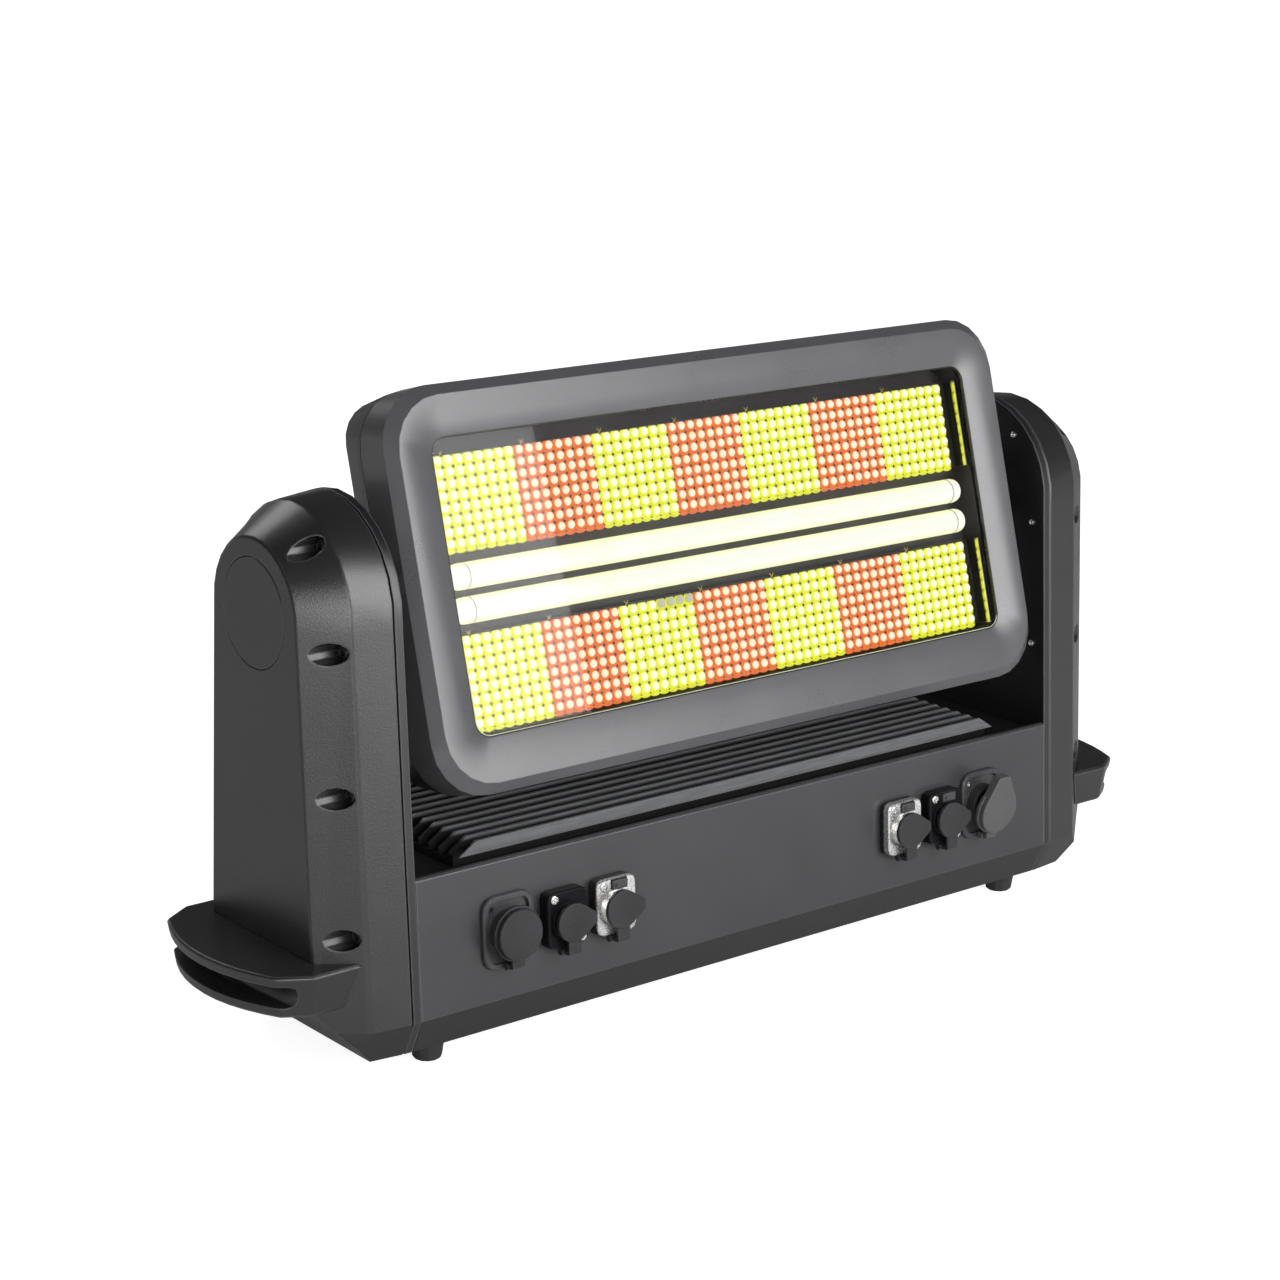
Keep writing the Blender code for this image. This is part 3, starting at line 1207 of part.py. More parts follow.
def build_drive():
    """Motor in the base, its pulley and the belt in the arm, and the pulley on the head's shaft."""
    side = DRIVE_SIDE
    width = (PULLEY_START, PULLEY_START + PULLEY_WIDTH)
    for name, teeth, bore, parent, z in (
        ("tilt_pulley", TILT_TEETH, SHAFT_RADIUS + GAP, HEAD, 0),
        ("motor_pulley", MOTOR_TEETH, 0, FIXTURE, MOTOR_Z),
    ):
        holes = [circle(bore, 16)] if bore else []
        low, high = sorted((side * width[0], side * width[1]))
        mesh = outline_mesh(name, [toothed_circle(teeth)] + holes, low, high, ACROSS_X)
        pulley = part(name, smooth(mesh), "aluminium", parent, Matrix.Translation((0, 0, z)))
        if bore:
            continue
        rim = circle(pitch_radius(teeth) + BELT_THICKNESS + GAP, 14)
        for i, (start, stop) in enumerate((
            (width[0] - PULLEY_FLANGE, width[0] + 0.0001),
            (width[1] - 0.0001, width[1] + PULLEY_FLANGE),
        )):
            low, high = sorted((side * start, side * stop))
            mesh = outline_mesh("flange", [rim], low, high, ACROSS_X)
            join(pulley, guide(f"{name}_flange_{i}", mesh, pulley))
        ends = (side * (MOTOR_FACE - 0.012), 0, 0), (side * (width[1] + 0.003), 0, 0)
        mesh = rod_mesh("motor_shaft", MOTOR_SHAFT_RADIUS, *ends, 16)
        join(pulley, guide("motor_shaft", mesh, pulley))

    half = MOTOR_SIDE / 2
    cut_off = 0.005
    outline = []
    for sx, sy in ((1, 1), (-1, 1), (-1, -1), (1, -1)):
        corner = [(sx * half, sy * (half - cut_off)), (sx * (half - cut_off), sy * half)]
        outline += corner if sx * sy > 0 else corner[::-1]
    low, high = sorted((side * MOTOR_FACE, side * (MOTOR_FACE - MOTOR_LENGTH)))
    mesh = outline_mesh("tilt_motor", [outline], low, high, ACROSS_X)
    motor = part("tilt_motor", mesh, "steel", FIXTURE, Matrix.Translation((0, 0, MOTOR_Z)))
    pilot = rod_mesh(
        "pilot", MOTOR_PILOT, (side * (MOTOR_FACE - 0.002), 0, 0), (side * (MOTOR_FACE + 0.002), 0, 0), 24
    )
    bore = rod_mesh(
        "bore", MOTOR_SHAFT_RADIUS + GAP, (side * (MOTOR_FACE - 0.013), 0, 0),
        (side * (MOTOR_FACE + 0.01), 0, 0), 16,
    )
    join(motor, guide("motor_pilot", pilot, motor))
    cut(motor, guide("motor_bore", bore, motor))

    loops = []
    for thickness in (BELT_THICKNESS, 0):
        loops.append(belt_loop(GAP + thickness))
    margin = 0.0006
    low, high = sorted((side * (width[0] + margin), side * (width[1] - margin)))
    part("drive_belt", smooth(outline_mesh("drive_belt", loops, low, high, ACROSS_X)), "rubber", FIXTURE)


def belt_loop(grow):
    """The belt's path round both pulleys, at a distance outside their tooth tips."""
    upper, lower = pitch_radius(TILT_TEETH) + grow, pitch_radius(MOTOR_TEETH) + grow
    lean = math.asin((upper - lower) / (AXIS_Z - MOTOR_Z))
    points = []
    for centre, radius, start, stop in (
        (AXIS_Z, upper, -lean, math.pi + lean), (MOTOR_Z, lower, math.pi + lean, 2 * math.pi - lean)
    ):
        for i in range(13):
            angle = mix(start, stop, i / 12)
            points.append((radius * math.cos(angle), centre + radius * math.sin(angle)))
    return points


clear_scene()
PARTS = new_collection("moving_head_strobe_light")
CUTTERS = new_collection("moving_head_strobe_light_cutters")
FIXTURE = empty("fixture", None, Matrix())
HEAD = empty(
    "head", FIXTURE, Matrix.Translation((0, 0, AXIS_Z)) @ Matrix.Rotation(-REST_TILT, 4, "X")
)

build_base()
HOUSING = bpy.data.objects["base_housing"]
build_inside()
power_socket("power_in", -POWER_X, None, 0)
small_socket("dmx_in", -DMX_X, "socket_black", False)
small_socket("network_in", -NETWORK_X, "socket_nickel", True)
small_socket("network_out", NETWORK_X, "socket_nickel", True)
small_socket("dmx_out", DMX_X, "socket_black", True)
power_socket("power_out", POWER_X, POWER_CAP_TAB, POWER_OUT_OPEN)
build_controls()
for arm_side, arm_name in SIDES:
    build_arm(arm_side, arm_name)
build_head()
build_drive()

bpy.context.view_layer.update()
graph = bpy.context.evaluated_depsgraph_get()
front_and_back = []
for piece in PARTS.objects:
    if piece.type == "MESH":
        shape = piece.evaluated_get(graph)
        front_and_back += [(shape.matrix_world @ Vector(corner)).y for corner in shape.bound_box]
FIXTURE.location.y = -(min(front_and_back) + max(front_and_back)) / 2
bpy.context.view_layer.update()
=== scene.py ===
"""Moving head strobe light: finishes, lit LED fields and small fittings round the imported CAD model."""

import json
import math

import bmesh
import bpy
from mathutils import Matrix, Vector


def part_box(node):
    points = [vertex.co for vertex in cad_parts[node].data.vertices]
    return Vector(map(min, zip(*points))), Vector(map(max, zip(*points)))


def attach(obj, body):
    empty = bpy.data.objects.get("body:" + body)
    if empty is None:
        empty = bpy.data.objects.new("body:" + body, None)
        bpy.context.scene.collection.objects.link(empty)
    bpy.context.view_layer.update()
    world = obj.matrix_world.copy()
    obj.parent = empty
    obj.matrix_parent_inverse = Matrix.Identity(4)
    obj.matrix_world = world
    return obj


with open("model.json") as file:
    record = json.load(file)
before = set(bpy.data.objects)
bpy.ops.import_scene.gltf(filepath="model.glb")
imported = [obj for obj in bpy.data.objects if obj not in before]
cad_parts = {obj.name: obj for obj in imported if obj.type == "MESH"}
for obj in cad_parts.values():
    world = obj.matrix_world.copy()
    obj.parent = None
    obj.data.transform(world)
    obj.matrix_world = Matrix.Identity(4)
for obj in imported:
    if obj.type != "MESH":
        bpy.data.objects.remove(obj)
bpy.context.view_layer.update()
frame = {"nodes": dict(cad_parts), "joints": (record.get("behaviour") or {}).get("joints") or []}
nodes = frame["nodes"]
MM = 0.001

# Frames: the head's (x along it, y to the back) and the front panel's (y up the panel, z outwards)
TILT = next(joint for joint in frame["joints"] if joint["name"] == "head_tilt")
AXIS = Vector(TILT["pos_m"])
HEAD_LEAN = math.radians(15.4)
HEAD = Matrix.Translation(AXIS) @ Matrix.Rotation(-HEAD_LEAN, 4, "X")
PANEL_LEAN = math.atan(0.0622)
FACING_FRONT = Matrix(((1, 0, 0, 0), (0, 0, -1, 0), (0, 1, 0, 0), (0, 0, 0, 1)))
PANEL = Matrix.Rotation(-PANEL_LEAN, 4, "X") @ FACING_FRONT
REAR_PANEL = Matrix.Rotation(math.pi, 4, "Z") @ PANEL
SIDES = ((-1, "left"), (1, "right"))
LED_BOARDS = ("led_board_upper", "led_board_lower")
TUBES = ("tube_light_upper", "tube_light_lower")

# LED fields, in the head's own frame
LED_COLUMNS = 56
LED_ROWS = 8
BLOCK_COLUMNS = 8
LED_PITCH_X = 6.44 * MM
LED_PITCH_Z = 6.14 * MM
LENS_RADIUS = 2.5 * MM
LENS_RISE = 2.6 * MM
CELL_RADIUS = 3.7 * MM
CELL_DROP = 0.6 * MM
UNLIT_COLUMNS = range(20, 24)

# Screw pockets of the arms: an arch of one screw above each row, in the arm's own section
POCKET_CIRCLE = 47.28 * MM
POCKET_ARCH = math.radians(51)
POCKET_DROP = 13 * MM
POCKET_PITCH = 73.3 * MM
POCKET_ROWS = 3
POCKET_LEAN = 0.0572
POCKET_FLOOR_IN = 23.92 * MM

# Height of the crease above the chamfered band round the base
BAND_TOP = 30.0 * MM

# Window: how far its glass reaches under the bezel, and the corner radius of the opening
GLASS_REBATE = 6.0 * MM
WINDOW_CORNER = 9.0 * MM

# Connectors: half spacings of their flange screws, and how far their front parts stand off the flange
SMALL_SCREWS = (8.8 * MM, 11.7 * MM)
POWER_SCREWS = (10.3 * MM, 13.1 * MM)
SMALL_COLLAR = 2.8 * MM
POWER_COLLAR = 6.8 * MM

# Colours, as linear values
YELLOW = (0.93, 0.96, 0.012)
YELLOW_TIP = (1.0, 1.0, 0.70)
ORANGE = (0.94, 0.18, 0.014)
ORANGE_TIP = (1.0, 0.88, 0.66)
TUBE_LIGHT = (1.0, 1.0, 0.84)


def new_material(name):
    made = bpy.data.materials.new(name)
    made.use_nodes = True
    tree = made.node_tree
    return made, tree, tree.nodes["Principled BSDF"]


def add(tree, kind, **inputs):
    """A node with some inputs set, or linked where the value is a socket; _2 means the third input."""
    node = tree.nodes.new(kind)
    for key, value in inputs.items():
        socket = node.inputs[int(key[1:])] if key[0] == "_" else node.inputs[key.replace("_", " ")]
        if isinstance(value, bpy.types.NodeSocket):
            tree.links.new(value, socket)
        else:
            socket.default_value = value
    return node


def math_node(tree, operation, first, second=0.0):
    node = add(tree, "ShaderNodeMath", _0=first, _1=second)
    node.operation = operation
    return node.outputs[0]


def place(tree):
    return tree.nodes.new("ShaderNodeTexCoord").outputs["Object"]


def noise(tree, scale, detail=3.0, coordinates=None):
    return add(
        tree, "ShaderNodeTexNoise", Vector=coordinates or place(tree), Scale=scale, Detail=detail
    )


def ramp(tree, factor, *stops):
    node = tree.nodes.new("ShaderNodeValToRGB")
    tree.links.new(factor, node.inputs["Fac"])
    elements = node.color_ramp.elements
    while len(elements) < len(stops):
        elements.new(0.5)
    for element, (position, colour) in zip(elements, stops):
        element.position = position
        value = (colour,) * 3 if isinstance(colour, float) else colour
        element.color = (*value, 1.0)
    return node.outputs["Color"]


def blend(tree, factor, first, second):
    node = tree.nodes.new("ShaderNodeMix")
    node.data_type = "RGBA"
    for value, name in ((factor, "Factor"), (first, "A"), (second, "B")):
        if isinstance(value, bpy.types.NodeSocket):
            tree.links.new(value, node.inputs[name])
        elif isinstance(value, tuple):
            node.inputs[name].default_value = (*value, 1.0)
        else:
            node.inputs[name].default_value = value
    return node.outputs["Result"]


def shade(colour, factor):
    return tuple(min(1.0, part * factor) for part in colour)


def textured(name, colour, roughness, grain=1500.0, bump=0.10, mottle=0.12, metallic=0.0,
             edge=1.5, edge_radius=0.0007, specular=0.5, spread=0.05):
    """Paint or moulded plastic: fine grain, slight mottling, and softened edges lightened by edge as a
    painted highlight.
    """
    made, tree, shader = new_material(name)
    fine = noise(tree, grain, 2.0)
    broad = noise(tree, 28.0, 4.0)
    body = ramp(
        tree, broad.outputs["Fac"], (0.3, shade(colour, 1 - mottle)), (0.7, shade(colour, 1 + mottle))
    )
    soft = add(tree, "ShaderNodeBevel", Radius=edge_radius)
    soft.samples = 4
    surface = tree.nodes.new("ShaderNodeNewGeometry")
    match = tree.nodes.new("ShaderNodeVectorMath")
    match.operation = "DOT_PRODUCT"
    tree.links.new(soft.outputs["Normal"], match.inputs[0])
    tree.links.new(surface.outputs["Normal"], match.inputs[1])
    # Edges take edge times the colour: a painted highlight along every edge.
    painted_edge_highlight = ramp(tree, match.outputs["Value"], (0.80, 1.0), (0.99, 0.0))
    tree.links.new(blend(tree, painted_edge_highlight, body, shade(colour, edge)), shader.inputs["Base Color"])
    patch = blend(tree, 0.5, fine.outputs["Color"], broad.outputs["Color"])
    rough = ramp(tree, patch, (0.35, max(roughness - spread, 0.05)), (0.65, roughness + spread))
    tree.links.new(rough, shader.inputs["Roughness"])
    relief = add(
        tree, "ShaderNodeBump", Strength=bump, Distance=0.0004, Height=fine.outputs["Fac"],
        Normal=soft.outputs["Normal"],
    )
    tree.links.new(relief.outputs["Normal"], shader.inputs["Normal"])
    shader.inputs["Metallic"].default_value = metallic
    shader.inputs["Specular IOR Level"].default_value = specular
    return made


def brushed(name, colour, roughness, along="X"):
    """Machined or brushed metal, with fine streaks along one direction."""
    made, tree, shader = new_material(name)
    stretch = {"X": (40, 900, 900), "Y": (900, 40, 900), "Z": (900, 900, 40)}[along]
    mapping = add(tree, "ShaderNodeMapping", Vector=place(tree), Scale=stretch)
    streaks = noise(tree, 1.0, 3.0, mapping.outputs["Vector"])
    tone = ramp(
        tree, streaks.outputs["Fac"], (0.3, shade(colour, 0.85)), (0.7, shade(colour, 1.1))
    )
    tree.links.new(tone, shader.inputs["Base Color"])
    rough = ramp(tree, streaks.outputs["Fac"], (0.3, roughness - 0.08), (0.7, roughness + 0.08))
    tree.links.new(rough, shader.inputs["Roughness"])
    relief = add(
        tree, "ShaderNodeBump", Strength=0.06, Distance=0.0002, Height=streaks.outputs["Fac"]
    )
    tree.links.new(relief.outputs["Normal"], shader.inputs["Normal"])
    shader.inputs["Metallic"].default_value = 1.0
    return made


def lit(shader, tree, tone, strength):
    """Give a surface its own light in a tone; its body stays dark, so that the tone keeps its hue."""
    tree.links.new(tone, shader.inputs["Emission Color"])
    shader.inputs["Emission Strength"].default_value = strength
    shader.inputs["Base Color"].default_value = (0.03, 0.03, 0.03, 1.0)


def dress(material, *names):
    for name in names:
        slots = nodes[name].data.materials
        slots.clear()
        slots.append(material)


def starting(*beginnings):
    return [name for name in nodes if name.startswith(beginnings)]


def ending(*ends):
    return [name for name in nodes if name.endswith(ends)]


def local_box(name, matrix):
    """Lowest and highest corners of a node in another frame."""
    inverse = matrix.inverted()
    points = [inverse @ vertex.co for vertex in nodes[name].data.vertices]
    low = Vector([min(point[i] for point in points) for i in range(3)])
    high = Vector([max(point[i] for point in points) for i in range(3)])
    return low, high


def even_shading(node):
    """Join the node's split faces for shading, so that its curved walls read as round."""
    node.data.shade_smooth()
    weld = node.modifiers.new("weld", "WELD")
    weld.merge_threshold = 0.000001
    split = node.modifiers.new("crisp_edges", "EDGE_SPLIT")
    split.split_angle = math.radians(24)
    even = node.modifiers.new("even_normals", "WEIGHTED_NORMAL")
    even.keep_sharp = True


def piece(name, bm, material, body, matrix=Matrix()):
    """A new visual piece that rides on a CAD body, with one material slot of its own."""
    bmesh.ops.recalc_face_normals(bm, faces=bm.faces)
    mesh = bpy.data.meshes.new(name)
    bm.to_mesh(mesh)
    bm.free()
    item = bpy.data.objects.new(name, mesh)
    bpy.context.scene.collection.objects.link(item)
    mesh.materials.append(material)
    mesh.shade_smooth()
    mesh.set_sharp_from_angle(angle=math.radians(30))
    item.matrix_world = matrix
    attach(item, body)


def loft(bm, loops, caps=True):
    """Faces between closed loops of points, each with as many points as the next."""
    rings = [[bm.verts.new(point) for point in loop] for loop in loops]
    count = len(rings[0])
    for first, second in zip(rings, rings[1:]):
        for i in range(count):
            j = (i + 1) % count
            bm.faces.new((first[i], first[j], second[j], second[i]))
    if caps:
        bm.faces.new(list(reversed(rings[0])))
        bm.faces.new(rings[-1])


def round_loop(matrix, radius, height, sides, reach=None):
    """A loop about the matrix's z axis; reach may give another radius for each angle."""
    points = []
    for i in range(sides):
        angle = 2 * math.pi * i / sides
        size = radius if reach is None else reach(angle)
        points.append(matrix @ Vector((size * math.cos(angle), size * math.sin(angle), height)))
    return points


def turned_ring(bm, matrix, profile, sides):
    """A closed ring turned about the matrix's z axis from (radius, height) points."""
    loops = [round_loop(matrix, radius, height, sides) for radius, height in profile]
    loft(bm, loops + [loops[0]], caps=False)
    bmesh.ops.remove_doubles(bm, verts=bm.verts, dist=1e-7)


def hex_reach(size):
    """Distance from the middle to a hexagon's side, by angle."""
    return lambda angle: size * math.cos(math.pi / 6) / math.cos(
        (angle % (math.pi / 3)) - math.pi / 6
    )


def cross_reach(length, width):
    """Distance from the middle to a cross's side, by angle."""
    def reach(angle):
        across = max(abs(math.cos(angle)), 1e-6)
        along = max(abs(math.sin(angle)), 1e-6)
        return max(min(length / across, width / along), min(width / across, length / along))
    return reach


def screw(bm, matrix, radius, rise, drive="cross"):
    """A screw head on the plane z = 0 of the matrix, with its drive sunk into it."""
    sides = 24
    if drive == "hex":
        reach = hex_reach(radius * 0.55)
    else:
        reach = cross_reach(radius * 0.62, radius * 0.17)
    pit = min(rise * 0.75, radius * 0.5)
    loft(bm, [
        round_loop(matrix, radius * 0.96, -0.05 * MM, sides),
        round_loop(matrix, radius, rise * 0.35, sides),
        round_loop(matrix, radius * 0.93, rise * 0.80, sides),
        round_loop(matrix, radius * 0.78, rise, sides),
        round_loop(matrix, 0, rise, sides, reach),
        round_loop(matrix, 0, rise - pit, sides, lambda angle: reach(angle) * 0.9),
    ])


def screws(name, places, radius, rise, material, drive="cross"):
    """A set of alike screw heads on the base, as one piece."""
    bm = bmesh.new()
    for matrix in places:
        screw(bm, matrix, radius, rise, drive)
    piece(name, bm, material, "base")


for node in nodes.values():
    even_shading(node)

# Materials of the CAD pieces
# edge=10 paints a bright highlight along the arm, cap and handle edges.
BLACK = textured(
    "moulded_black", (0.014, 0.014, 0.015), 0.34, grain=1100.0, bump=0.20, specular=0.82, edge=10.0,
    edge_radius=0.0012
)
dress(BLACK, *starting("arm_cover", "arm_cap", "handle"))
SHELL = textured(
    "shell_black", (0.012, 0.012, 0.013), 0.48, grain=1100.0, bump=0.20, specular=0.25
)
dress(SHELL, "head_rear_shell")
# edge=8 paints a highlight along the panel's edges, such as its top lip.
PANEL_PAINT = textured(
    "panel_paint", (0.032, 0.032, 0.035), 0.34, grain=1700.0, bump=0.10, mottle=0.06, edge=8.0,
    edge_radius=0.0009, specular=0.72
)
dress(PANEL_PAINT, "base_housing")
DECK = textured("deck_paint", (0.006, 0.006, 0.007), 0.50, grain=1500.0, bump=0.08, specular=0.2)
dress(DECK, "top_deck", "bottom_plate", "control_panel")
BACKPLATE = textured(
    "backplate_paint", (0.042, 0.038, 0.039), 0.42, grain=1500.0, bump=0.08, specular=0.3
)
dress(BACKPLATE, "led_backplate")
# edge=22 paints a bright highlight along the inner plates' edges.
PLATE = textured("plate_paint", (0.008, 0.008, 0.009), 0.34, grain=1600.0, bump=0.06, edge=22.0,
                 edge_radius=0.0012, specular=0.75)
dress(PLATE, *starting("arm_plate"))
BEZEL = textured(
    "bezel_paint", (0.080, 0.080, 0.085), 0.31, grain=1700.0, bump=0.07, mottle=0.06, specular=0.85,
    edge=1.6,
)
dress(BEZEL, "head_bezel")
RUBBER = textured("rubber", (0.020, 0.020, 0.021), 0.62, grain=900.0, bump=0.15)
dress(RUBBER, "drive_belt", *starting("rubber_foot"))
CAP = textured(
    "cap_rubber", (0.024, 0.024, 0.026), 0.44, grain=1300.0, bump=0.45, mottle=0.30, edge=2.6,
    specular=0.36,
)
dress(CAP, *ending("_cap"))
GREY_CAP = textured("grey_cap_rubber", (0.085, 0.086, 0.088), 0.45, grain=900.0, bump=0.10)
dress(GREY_CAP, "power_out_cap")
# edge=9 paints a highlight along the sockets' edges.
SOCKET = textured(
    "socket_plastic", (0.006, 0.006, 0.007), 0.30, grain=1500.0, bump=0.06, specular=0.12, edge=9.0
)
dress(SOCKET, *ending("_socket"), *starting("head_fan"))
SOCKET_GREY = textured(
    "socket_frame", (0.045, 0.045, 0.048), 0.40, grain=1400.0, bump=0.08, edge=1.8
)
dress(SOCKET_GREY, "power_in_socket", "power_out_socket")
KEY = textured("key_plastic", (0.045, 0.045, 0.048), 0.40, grain=1200.0, bump=0.06)
dress(KEY, *ending("_button", "_latch"))
METAL = brushed("bare_aluminium", (0.62, 0.63, 0.64), 0.40)
dress(METAL, "power_supply", "head_heat_sink", "tilt_pulley", "motor_pulley")
STEEL = brushed("steel", (0.42, 0.42, 0.43), 0.35, "Y")
dress(STEEL, "tilt_motor", *starting("tilt_shaft", "shaft_bearing"))
BOARD = textured("circuit_board", (0.02, 0.13, 0.06), 0.45, grain=700.0, bump=0.05)
dress(BOARD, "control_board")
DISPLAY = textured("display_glass", (0.008, 0.011, 0.016), 0.14, grain=200.0, bump=0.0)
dress(DISPLAY, "display_window")
ZINC = textured(
    "zinc_screw", (0.70, 0.70, 0.69), 0.24, grain=600.0, bump=0.10, mottle=0.20, metallic=0.95
)
OXIDE = textured("oxide_screw", (0.020, 0.020, 0.022), 0.32, grain=900.0, bump=0.05, metallic=0.4)


def painted_shade_below(material, z, share):
    """Keep a share of the paint's tone under a height: painted shade on the lower band, below the
    crease.
    """
    tree = material.node_tree
    shader = tree.nodes["Principled BSDF"]
    tone = shader.inputs["Base Color"].links[0].from_socket
    split = add(tree, "ShaderNodeSeparateXYZ", Vector=place(tree))
    height = add(
        tree, "ShaderNodeMapRange", Value=split.outputs["Z"], _1=z - 0.4 * MM, _2=z + 0.1 * MM,
        _3=share, _4=1.0,
    )
    level = add(
        tree, "ShaderNodeCombineColor", _0=height.outputs["Result"], _1=height.outputs["Result"],
        _2=height.outputs["Result"],
    )
    product = tree.nodes.new("ShaderNodeMix")
    product.data_type = "RGBA"
    product.blend_type = "MULTIPLY"
    product.inputs["Factor"].default_value = 1.0
    tree.links.new(tone, product.inputs["A"])
    tree.links.new(level.outputs[0], product.inputs["B"])
    tree.links.new(product.outputs["Result"], shader.inputs["Base Color"])


# Painted shade on the chamfered band round the base and on the arms' lowest part.
painted_shade_below(PANEL_PAINT, BAND_TOP, 0.06)
painted_shade_below(BLACK, BAND_TOP, 0.15)


def fin_material(front, low, high):
    """Fins with grey tops that go down to black, a painted shade in the gaps between them; the front
    fin's face is kept grey.
    """
    made, tree, shader = new_material("fin_metal")
    split = add(tree, "ShaderNodeSeparateXYZ", Vector=place(tree))
    face = math_node(tree, "LESS_THAN", split.outputs["Y"], front)
    lifted = math_node(tree, "ADD", split.outputs["Z"], math_node(tree, "MULTIPLY", face, 7.5 * MM))
    height = add(tree, "ShaderNodeMapRange", Value=lifted, _1=low, _2=high)
    mapping = add(tree, "ShaderNodeMapping", Vector=place(tree), Scale=(60, 900, 900))
    streaks = noise(tree, 1.0, 3.0, mapping.outputs["Vector"])
    grey = ramp(
        tree, streaks.outputs["Fac"], (0.3, (0.095, 0.097, 0.101)), (0.7, (0.140, 0.142, 0.147))
    )
    # Black below the tops is painted shade in the fin gaps.
    tone = blend(tree, height.outputs["Result"], (0.003, 0.003, 0.003), grey)
    tree.links.new(tone, shader.inputs["Base Color"])
    rough = ramp(tree, height.outputs["Result"], (0.0, 0.75), (1.0, 0.42))
    tree.links.new(rough, shader.inputs["Roughness"])
    relief = add(
        tree, "ShaderNodeBump", Strength=0.08, Distance=0.0002, Height=streaks.outputs["Fac"]
    )
    tree.links.new(relief.outputs["Normal"], shader.inputs["Normal"])
    shader.inputs["Specular IOR Level"].default_value = 0.35
    return made


sink_low, sink_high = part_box("heat_sink")
dress(fin_material(sink_low.y + MM, sink_high.z - 2.4 * MM, sink_high.z - 0.7 * MM), "heat_sink")


def nickel_front(node, thickness):
    """Nickel plate on the front of a connector whose sides and back are black."""
    made, tree, shader = new_material(f"{node}_plate")
    front = local_box(node, PANEL)[1].z - SMALL_COLLAR
    mapping = add(
        tree, "ShaderNodeMapping", Vector=place(tree), Rotation=(math.pi / 2 - PANEL_LEAN, 0, 0)
    )
    mapping.vector_type = "TEXTURE"
    split = add(tree, "ShaderNodeSeparateXYZ", Vector=mapping.outputs["Vector"])
    plate = math_node(tree, "GREATER_THAN", split.outputs["Z"], front - thickness)
    grain = noise(tree, 1300.0, 3.0)
    silver = ramp(tree, grain.outputs["Fac"], (0.35, (0.62, 0.61, 0.60)), (0.62, (0.90, 0.89, 0.88)))
    tree.links.new(blend(tree, plate, (0.012, 0.012, 0.013), silver), shader.inputs["Base Color"])
    metal = ramp(tree, plate, (0.0, 0.0), (1.0, 0.9))
    tree.links.new(metal, shader.inputs["Metallic"])
    rough = ramp(tree, grain.outputs["Fac"], (0.3, 0.22), (0.7, 0.40))
    tree.links.new(rough, shader.inputs["Roughness"])
    relief = add(
        tree, "ShaderNodeBump", Strength=0.10, Distance=0.0002, Height=grain.outputs["Fac"]
    )
    tree.links.new(relief.outputs["Normal"], shader.inputs["Normal"])
    dress(made, node)


nickel_front("network_in_socket", 2.0 * MM)
nickel_front("network_out_socket", 4.5 * MM)


def in_head_frame(tree):
    """Coordinates of a CAD piece of the head, turned back into the head's own frame."""
    mapping = add(
        tree, "ShaderNodeMapping", Vector=place(tree), Location=tuple(AXIS),
        Rotation=(-HEAD_LEAN, 0, 0),
    )
    mapping.vector_type = "TEXTURE"
    return add(tree, "ShaderNodeSeparateXYZ", Vector=mapping.outputs["Vector"])


def led_board_material(name, middle):
    """Board between the lenses: each cell glows in its LED's colour, a painted pool of that LED's light,
    and leaves dark dots at its corners.
    """
    made, tree, shader = new_material(name)
    split = in_head_frame(tree)
    across = math_node(tree, "DIVIDE", split.outputs["X"], LED_PITCH_X)
    column = math_node(tree, "ADD", across, LED_COLUMNS / 2)
    lifted = math_node(tree, "SUBTRACT", split.outputs["Z"], middle - CELL_DROP)
    row = math_node(
        tree, "ADD", math_node(tree, "DIVIDE", lifted, LED_PITCH_Z), LED_ROWS / 2
    )

    def from_cell(position, pitch):
        share = math_node(tree, "SUBTRACT", math_node(tree, "FRACT", position), 0.5)
        return math_node(tree, "MULTIPLY", share, pitch)

    def within(position, count):
        low = math_node(tree, "GREATER_THAN", position, 0.0)
        high = math_node(tree, "LESS_THAN", position, float(count))
        return math_node(tree, "MULTIPLY", low, high)

    spot = add(
        tree, "ShaderNodeCombineXYZ", X=from_cell(column, LED_PITCH_X), Y=from_cell(row, LED_PITCH_Z)
    )
    distance = tree.nodes.new("ShaderNodeVectorMath")
    distance.operation = "LENGTH"
    tree.links.new(spot.outputs["Vector"], distance.inputs[0])
    disc = add(
        tree, "ShaderNodeMapRange", Value=distance.outputs["Value"], _1=CELL_RADIUS - 0.15 * MM,
        _2=CELL_RADIUS + 0.25 * MM, _3=1.0, _4=0.0,
    )
    field = math_node(tree, "MULTIPLY", within(column, LED_COLUMNS), within(row, LED_ROWS))
    mask = math_node(tree, "MULTIPLY", disc.outputs["Result"], field)
    pair = math_node(
        tree, "MODULO", math_node(tree, "DIVIDE", column, float(BLOCK_COLUMNS)), 2.0
    )
    block = math_node(tree, "GREATER_THAN", pair, 1.0)
    colour = blend(tree, block, shade(YELLOW, 0.92), shade(ORANGE, 0.92))
    grain = noise(tree, 500.0, 2.0)
    uneven = ramp(tree, grain.outputs["Fac"], (0.3, 0.80), (0.7, 1.0))
    tone = blend(tree, mask, (0.004, 0.004, 0.004), colour)
    # The board is no lamp: this glow is painted light from the LEDs.
    lit(shader, tree, blend(tree, uneven, (0.0, 0.0, 0.0), tone), 1.0)
    shader.inputs["Base Color"].default_value = (0.006, 0.006, 0.006, 1.0)
    shader.inputs["Roughness"].default_value = 0.5
    return made


